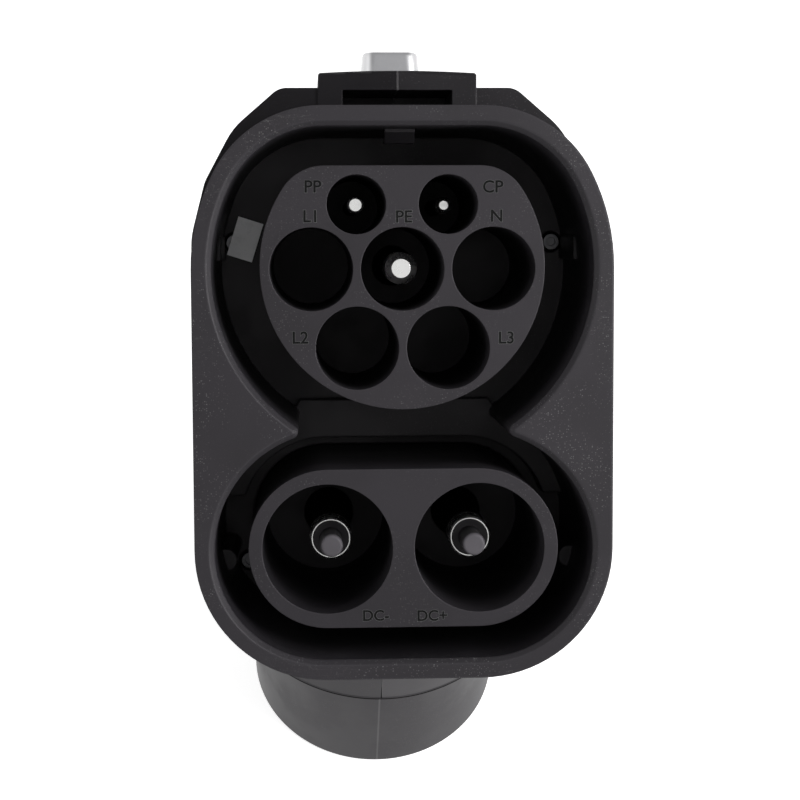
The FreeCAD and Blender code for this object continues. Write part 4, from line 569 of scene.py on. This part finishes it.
class ADAPTER_OT_mouldings(bpy.types.Operator):
    """Finishes the black mouldings: shroud, towers, shells, barrel and small inner mouldings"""
    bl_idname = "adapter.mouldings"
    bl_label = "Finish mouldings"

    def execute(self, context):
        tones = context.scene.adapter_colours
        # deep sets where each moulding is painted black as painted shade deep in the inlet.
        dress(moulded("shroud_plastic", tones.shroud, 0.5, dust=1.0, scuffs=0.6, gloss=0.32,
                      edge=0.0006, edge_highlight=0.7, deep=(0.003, 0.018)), "inlet_shroud")
        dress(moulded("tower_plastic", tones.towers, 0.52, dust=0.6, scuffs=0.15, gloss=0.29,
                      edge_highlight=0.4, deep=(0.004, 0.02)), "ac_contact_carrier", "dc_contact_carrier")
        dress(moulded("plug_face_plastic", tones.towers, 0.52, dust=0.3, scuffs=0.15, gloss=0.35),
              "plug_contact_carrier")
        # The left shell mirrors less than the right one: painted shade on the left side.
        for name, gloss in (("left_shell", 0.12), ("right_shell", 0.2)):
            dress(moulded(name + "_plastic", tones.shells, 0.4, dust=0.3, scuffs=0.4, seam=0.00022,
                          gloss=gloss, foot_painted_light=(*COLLAR_LIGHT_FADE, tones.collar)), name)
        dress(moulded("barrel_plastic", tones.barrel, 0.42, grain=0.000008, dust=0.3, scuffs=0.5,
                      gloss=0.28, seam=0.0003), "plug_barrel")
        dress(moulded("inner_plastic", tones.inner, 0.5, grain=0.00001, dust=0.1, scuffs=0.0,
                      gloss=0.3, deep=(0.015, 0.025)),
              "ac_retainer", "dc_retainer", "plug_retainer", "button_guide", "detent_arm")
        dress(moulded("guard_plastic", tones.inlet_guards, 0.4, grain=0.000006, dust=0.2, scuffs=0.0,
                      gloss=0.15, edge_highlight=0.8, deep=(0.0066, 0.0085)), "inlet_touch_guards")
        dress(moulded("plug_guard_plastic", tones.plug_guards, 0.4, grain=0.000006, dust=0.2, scuffs=0.0),
              "plug_touch_guards")
        return {"FINISHED"}


class ADAPTER_OT_contacts(bpy.types.Operator):
    """Finishes the silver-plated contact pins of both ends"""
    bl_idname = "adapter.contacts"
    bl_label = "Finish contacts"

    def execute(self, context):
        tones = context.scene.adapter_colours
        # The inlet's contacts are painted black from 20 mm into the inlet, as painted shade.
        dress(metal("inlet_silver", tones.inlet_pins, 0.26, turn=(math.radians(45), 0, 0), pin_shade_depth=0.020),
              "earth_pin", "proximity_pin", "pilot_pin", "inlet_dc_minus_pin", "inlet_dc_plus_pin")
        dress(metal("plug_silver", tones.plug_pins, 0.28),
              "plug_dc_minus_pin", "plug_dc_plus_pin", "plug_earth_pin",
              "plug_signal_pins", "plug_aux_pins")
        return {"FINISHED"}


class ADAPTER_OT_metals(bpy.types.Operator):
    """Finishes the plated button, the latch lever, the screws and the springs"""
    bl_idname = "adapter.metals"
    bl_label = "Finish metal parts"

    def execute(self, context):
        tones = context.scene.adapter_colours
        dress(metal("button_plating", tones.button, 0.28, tarnish=0.3, edge=0.0004,
                    flanks=(*FLANK_REFLECTION_FADE, tones.flanks)), "release_button")
        dress(metal("lever_steel", tones.lever, 0.34, tarnish=0.3), "latch_lever")
        dress(metal("blackened_steel", tones.floor_screws, 0.3, tarnish=0.3), "inlet_floor_screws")
        dress(metal("screw_steel", tones.screws, 0.36, tarnish=0.4),
              "shell_screws", "plug_retainer_screws", "board_screws",
              "detent_pin", "latch_pivot_pin")
        dress(metal("spring_steel", tones.springs, 0.3, tarnish=0.2),
              "button_spring", "detent_spring", "latch_spring")
        return {"FINISHED"}


class ADAPTER_OT_spring(bpy.types.Operator):
    """Copies the button's return spring into a piece of its own on the adapter's body and hides the CAD
    spring
    """
    bl_idname = "adapter.spring"
    bl_label = "Fit button spring"

    def execute(self, context):
        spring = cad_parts["button_spring"]
        coil = bpy.data.objects.new("button_coil", spring.data.copy())
        context.scene.collection.objects.link(coil)
        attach(coil, "adapter_body")
        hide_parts("button_spring")
        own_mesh(coil)
        return {"FINISHED"}


class ADAPTER_OT_inside(bpy.types.Operator):
    """Finishes what lies inside: seals, board, cell, cables and leads"""
    bl_idname = "adapter.inside"
    bl_label = "Finish inside"

    def execute(self, context):
        tones = context.scene.adapter_colours
        dress(soft("seal_rubber", tones.seals, 0.7), "inlet_gasket", "plug_gasket")
        dress(laminate(tones.mask, tones.traces), "control_board")
        dress(moulded("chip_plastic", tones.chips, 0.45, dust=0.0, scuffs=0.0), "board_chips")
        dress(moulded("header_nylon", tones.header, 0.45, dust=0.0, scuffs=0.0),
              "board_header", "harness_plug")
        dress(wrapped_can(tones.wrap, tones.shrunk), "battery_cell")
        dress(soft("cable_black", tones.minus_cable, 0.5, 300.0), "dc_minus_cable")
        dress(soft("cable_orange", tones.plus_cable, 0.5, 300.0), "dc_plus_cable")
        dress(soft("cable_green", tones.earth_cable, 0.5, 300.0), "earth_cable")
        dress(soft("cable_grey", tones.leads, 0.5, 500.0), "signal_harness", "aux_leads")
        return {"FINISHED"}


class ADAPTER_OT_sticker(bpy.types.Operator):
    """Finishes the bare sticker in the upper groove"""
    bl_idname = "adapter.sticker"
    bl_label = "Finish sticker"

    def execute(self, context):
        tones = context.scene.adapter_colours
        dress(paper(tones.sticker, tones.sticker_light, tones.stain), "inspection_sticker")
        return {"FINISHED"}


class ADAPTER_OT_joints(bpy.types.Operator):
    """Adds painted shadow lines at the collar: a dark strip round its lower edge with a duller band above,
    and one where the shells meet
    """
    bl_idname = "adapter.joints"
    bl_label = "Add joint lines"

    def execute(self, context):
        sizes = context.scene.adapter_joints
        # Painted shadow: dark strips at the collar's edge and the shells' seam, and a duller band above the
        # edge strip.
        dark = mottled("joint_shadow", (0.0015, 0.0015, 0.0015), (0.003, 0.003, 0.003), 0.7, 0.04)
        shaded = mottled("joint_shadow_band", (0.03, 0.028, 0.031), (0.045, 0.042, 0.046), 0.6, 0.12)
        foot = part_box("left_shell")[0].z
        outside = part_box("right_shell")[1].y + sizes.proud
        under = outside - sizes.proud / 2
        self.strip(context, "collar_edge_soil", shaded, self.edge_line(under, foot, sizes.shadow_band_height))
        self.strip(context, "collar_edge_line", dark, self.edge_line(outside, foot, sizes.line_height))
        self.strip(context, "collar_seam_line", dark,
                   self.seam(outside, foot + sizes.seam_start, sizes.seam_top, sizes.seam_width))
        return {"FINISHED"}

    def edge_line(self, radius, foot, height, steps=96):
        """Pairs of points round the front of the collar, closing up towards both sides."""
        pairs = []
        for step in range(steps + 1):
            share = step / steps
            turn = math.pi * (1.0 + share)
            across = Vector((math.cos(turn), math.sin(turn), 0.0)) * radius
            top = foot + height * math.sin(math.pi * share) ** 0.4
            pairs.append((across + Vector((0, 0, top)), across + Vector((0, 0, foot))))
        return pairs

    def seam(self, radius, low, high, width, steps=12):
        """Pairs of points up the front of the collar. The line is full at its foot and narrows to
        a quarter within the first quarter of its height."""
        pairs = []
        for step in range(steps + 1):
            share = step / steps
            height = low + (high - low) * share
            half = width / 2 * (1.0 - 0.75 * min(1.0, 4.0 * share))
            pairs.append((Vector((half, -radius, height)), Vector((-half, -radius, height))))
        return pairs

    def strip(self, context, name, paint, pairs):
        """Thin ribbon through pairs of points, riding on the adapter's body."""
        corners = [corner for pair in pairs for corner in pair]
        faces = [(2 * i, 2 * i + 2, 2 * i + 3, 2 * i + 1) for i in range(len(pairs) - 1)]
        shape = bpy.data.meshes.new(name)
        shape.from_pydata(corners, [], faces)
        shape.materials.append(paint)
        ribbon = bpy.data.objects.new(name, shape)
        context.scene.collection.objects.link(ribbon)
        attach(ribbon, "adapter_body")


class ADAPTER_OT_markings(bpy.types.Operator):
    """Adds the generic contact markings to the faces of both towers"""
    bl_idname = "adapter.markings"
    bl_label = "Add markings"

    # Each marking with the X and Z of its middle in the inlet's frame, in millimetres.
    UPPER = (("PP", -16.26, 14.81), ("CP", 16.44, 14.72), ("L1", -16.58, 9.46), ("PE", 0.23, 9.36),
             ("N", 17.13, 9.45), ("L2", -18.71, -12.5), ("L3", 18.91, -12.73))
    LOWER = (("DC-", -5.24, -63.85), ("DC+", 5.18, -64.0))

    def execute(self, context):
        sizes = context.scene.adapter_markings
        # The dark letters stand in for shade in the engraving and the pale lip for a highlight on its edge:
        # painted shade and painted highlight.
        floor = mottled("letter_painted_shade", (0.002, 0.002, 0.002), (0.005, 0.005, 0.005), 0.6, 0.1)
        lip = mottled("letter_painted_highlight", (0.045, 0.045, 0.046), (0.08, 0.08, 0.081), 0.45, 0.5)
        for name, words, size in (("upper", self.UPPER, sizes.letter_size),
                                  ("lower", self.LOWER, sizes.lower_size)):
            self.join(context, name + "_lips", lip,
                      [self.letters(context, word, size, sizes.depth / 2, sizes.weight + sizes.lip)
                       for word in words])
            self.join(context, name + "_markings", floor,
                      [self.letters(context, word, size, sizes.depth, sizes.weight) for word in words])
        return {"FINISHED"}

    def join(self, context, name, paint, pieces):
        """One piece of several letters, riding on the adapter's body."""
        bpy.ops.object.select_all(action="DESELECT")
        for piece in pieces:
            piece.select_set(True)
        context.view_layer.objects.active = pieces[0]
        bpy.ops.object.join()
        pieces[0].name = name
        pieces[0].data.materials.clear()
        pieces[0].data.materials.append(paint)
        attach(pieces[0], "adapter_body")

    def letters(self, context, word, size, thick, wider):
        """Thin mesh of one marking, centred on a point of the tower's face."""
        text, x, z = word
        curve = bpy.data.curves.new(text, "FONT")
        curve.body = text
        curve.size = size
        curve.align_x = "CENTER"
        curve.align_y = "CENTER"
        curve.extrude = thick / 2
        curve.offset = wider
        written = bpy.data.objects.new(text, curve)
        context.scene.collection.objects.link(written)
        context.view_layer.update()
        shape = bpy.data.meshes.new_from_object(written.evaluated_get(context.evaluated_depsgraph_get()))
        bpy.data.objects.remove(written)
        piece = bpy.data.objects.new("marking", shape)
        piece.matrix_world = facing(x / 1000, TOWER_FACE, z / 1000)
        context.scene.collection.objects.link(piece)
        return piece


class ADAPTER_OT_stage(bpy.types.Operator):
    """Sets up the white floor, the soft lamps and the camera"""
    bl_idname = "adapter.stage"
    bl_label = "Set stage"

    def execute(self, context):
        scene = context.scene
        scene.view_settings.view_transform = "Standard"
        settings = scene.adapter_stage
        self.floor(scene)
        self.sky(scene, settings.sky)
        for name, place, wide, high, power in (
                ("front_lamp", inlet(0.28, -0.38, 0.14), 0.3, 0.3, settings.key_power),
                ("left_lamp", inlet(-0.80, -0.25, -0.05), 0.4, 0.9, settings.left_power),
                ("right_lamp", inlet(0.80, -0.30, -0.05), 0.4, 0.9, settings.right_power),
                ("near_lamp", inlet(0.30, -0.26, 0.02), 0.12, 0.3, settings.near_power)):
            self.lamp(scene, name, place, wide, high, power)
        self.camera(scene, settings.lens)
        return {"FINISHED"}

    def floor(self, scene):
        shape = bpy.data.meshes.new("floor")
        reach, level = 6.0, -0.0001
        corners = [(-reach, -reach, level), (reach, -reach, level), (reach, reach, level),
                   (-reach, reach, level)]
        shape.from_pydata(corners, [], [(0, 1, 2, 3)])
        floor = bpy.data.objects.new("floor", shape)
        scene.collection.objects.link(floor)
        material, tree, shader, place = start_material("floor_white")
        feed(tree, shader, Base_Color=(0.9, 0.9, 0.9, 1.0), Roughness=0.9)
        tree.links.new(maths(tree, "MULTIPLY", self.shown(tree), 0.75), shader.inputs["Emission Strength"])
        feed(tree, shader, Emission_Color=(1.0, 1.0, 1.0, 1.0))
        shape.materials.append(material)

    def sky(self, scene, level):
        world = bpy.data.worlds.new("white_room")
        world.use_nodes = True
        tree = world.node_tree
        backdrop = tree.nodes["Background"]
        seen = maths(tree, "MULTIPLY", self.shown(tree), 1.0 - level)
        tree.links.new(maths(tree, "ADD", seen, level), backdrop.inputs["Strength"])
        backdrop.inputs["Color"].default_value = (1.0, 1.0, 1.0, 1.0)
        scene.world = world

    def shown(self, tree):
        """1 where the white room is seen, straight on or mirrored, and 0 where it only lights."""
        path = add(tree, "ShaderNodeLightPath")
        seen = maths(tree, "MAXIMUM", path.outputs["Is Camera Ray"], path.outputs["Is Glossy Ray"])
        return maths(tree, "MAXIMUM", seen, path.outputs["Is Transmission Ray"])

    def lamp(self, scene, name, place, wide, high, power):
        """Soft rectangular lamp that looks at the middle of the adapter."""
        data = bpy.data.lights.new(name, "AREA")
        data.shape = "RECTANGLE"
        data.size = wide
        data.size_y = high
        data.energy = power
        lamp = bpy.data.objects.new(name, data)
        lamp.location = place
        aim = place - inlet(0.0, 0.0, -0.02)
        lamp.rotation_mode = "QUATERNION"
        lamp.rotation_quaternion = aim.to_track_quat("Z", "Y")
        scene.collection.objects.link(lamp)

    def camera(self, scene, lens):
        """Camera of the photograph, 335 mm before the inlet's rim and a little to its left."""
        data = bpy.data.cameras.new("camera")
        data.lens = lens
        data.sensor_width = 36.0
        data.clip_start = 0.01
        data.clip_end = 50.0
        camera = bpy.data.objects.new("camera", data)
        place = facing(*CAMERA_AT)
        for degrees, axis in CAMERA_TURNS:
            place = place @ Matrix.Rotation(math.radians(degrees), 4, axis)
        camera.matrix_world = place
        scene.collection.objects.link(camera)
        scene.camera = camera


class ADAPTER_PT_looks(bpy.types.Panel):
    """Adapter looks"""
    bl_label = "Charging adapter"
    bl_space_type = "VIEW_3D"
    bl_region_type = "UI"
    bl_category = "Adapter"

    def draw(self, context):
        layout = self.layout
        for place, kind in GROUPS.items():
            column = layout.column()
            for name in kind.__annotations__:
                column.prop(getattr(context.scene, place), name)
        for operator in OPERATORS:
            layout.operator(operator.bl_idname)


OPERATORS = (
    ADAPTER_OT_mouldings, ADAPTER_OT_contacts, ADAPTER_OT_metals, ADAPTER_OT_spring, ADAPTER_OT_inside,
    ADAPTER_OT_sticker, ADAPTER_OT_joints, ADAPTER_OT_markings, ADAPTER_OT_stage,
)
GROUPS = {
    "adapter_colours": AdapterColours, "adapter_finish": AdapterFinish,
    "adapter_markings": AdapterMarkings, "adapter_joints": AdapterJoints,
    "adapter_stage": AdapterStage,
}
CLASSES = (*GROUPS.values(), *OPERATORS, ADAPTER_PT_looks)


def register():
    for kind in CLASSES:
        bpy.utils.register_class(kind)
    for place, kind in GROUPS.items():
        setattr(bpy.types.Scene, place, bpy.props.PointerProperty(type=kind))


def unregister():
    for place in GROUPS:
        delattr(bpy.types.Scene, place)
    for kind in reversed(CLASSES):
        bpy.utils.unregister_class(kind)


def main():
    register()
    for operator in OPERATORS:
        action = getattr(bpy.ops.adapter, operator.bl_idname.split(".")[1])
        action()


if __name__ == "__main__":
    main()
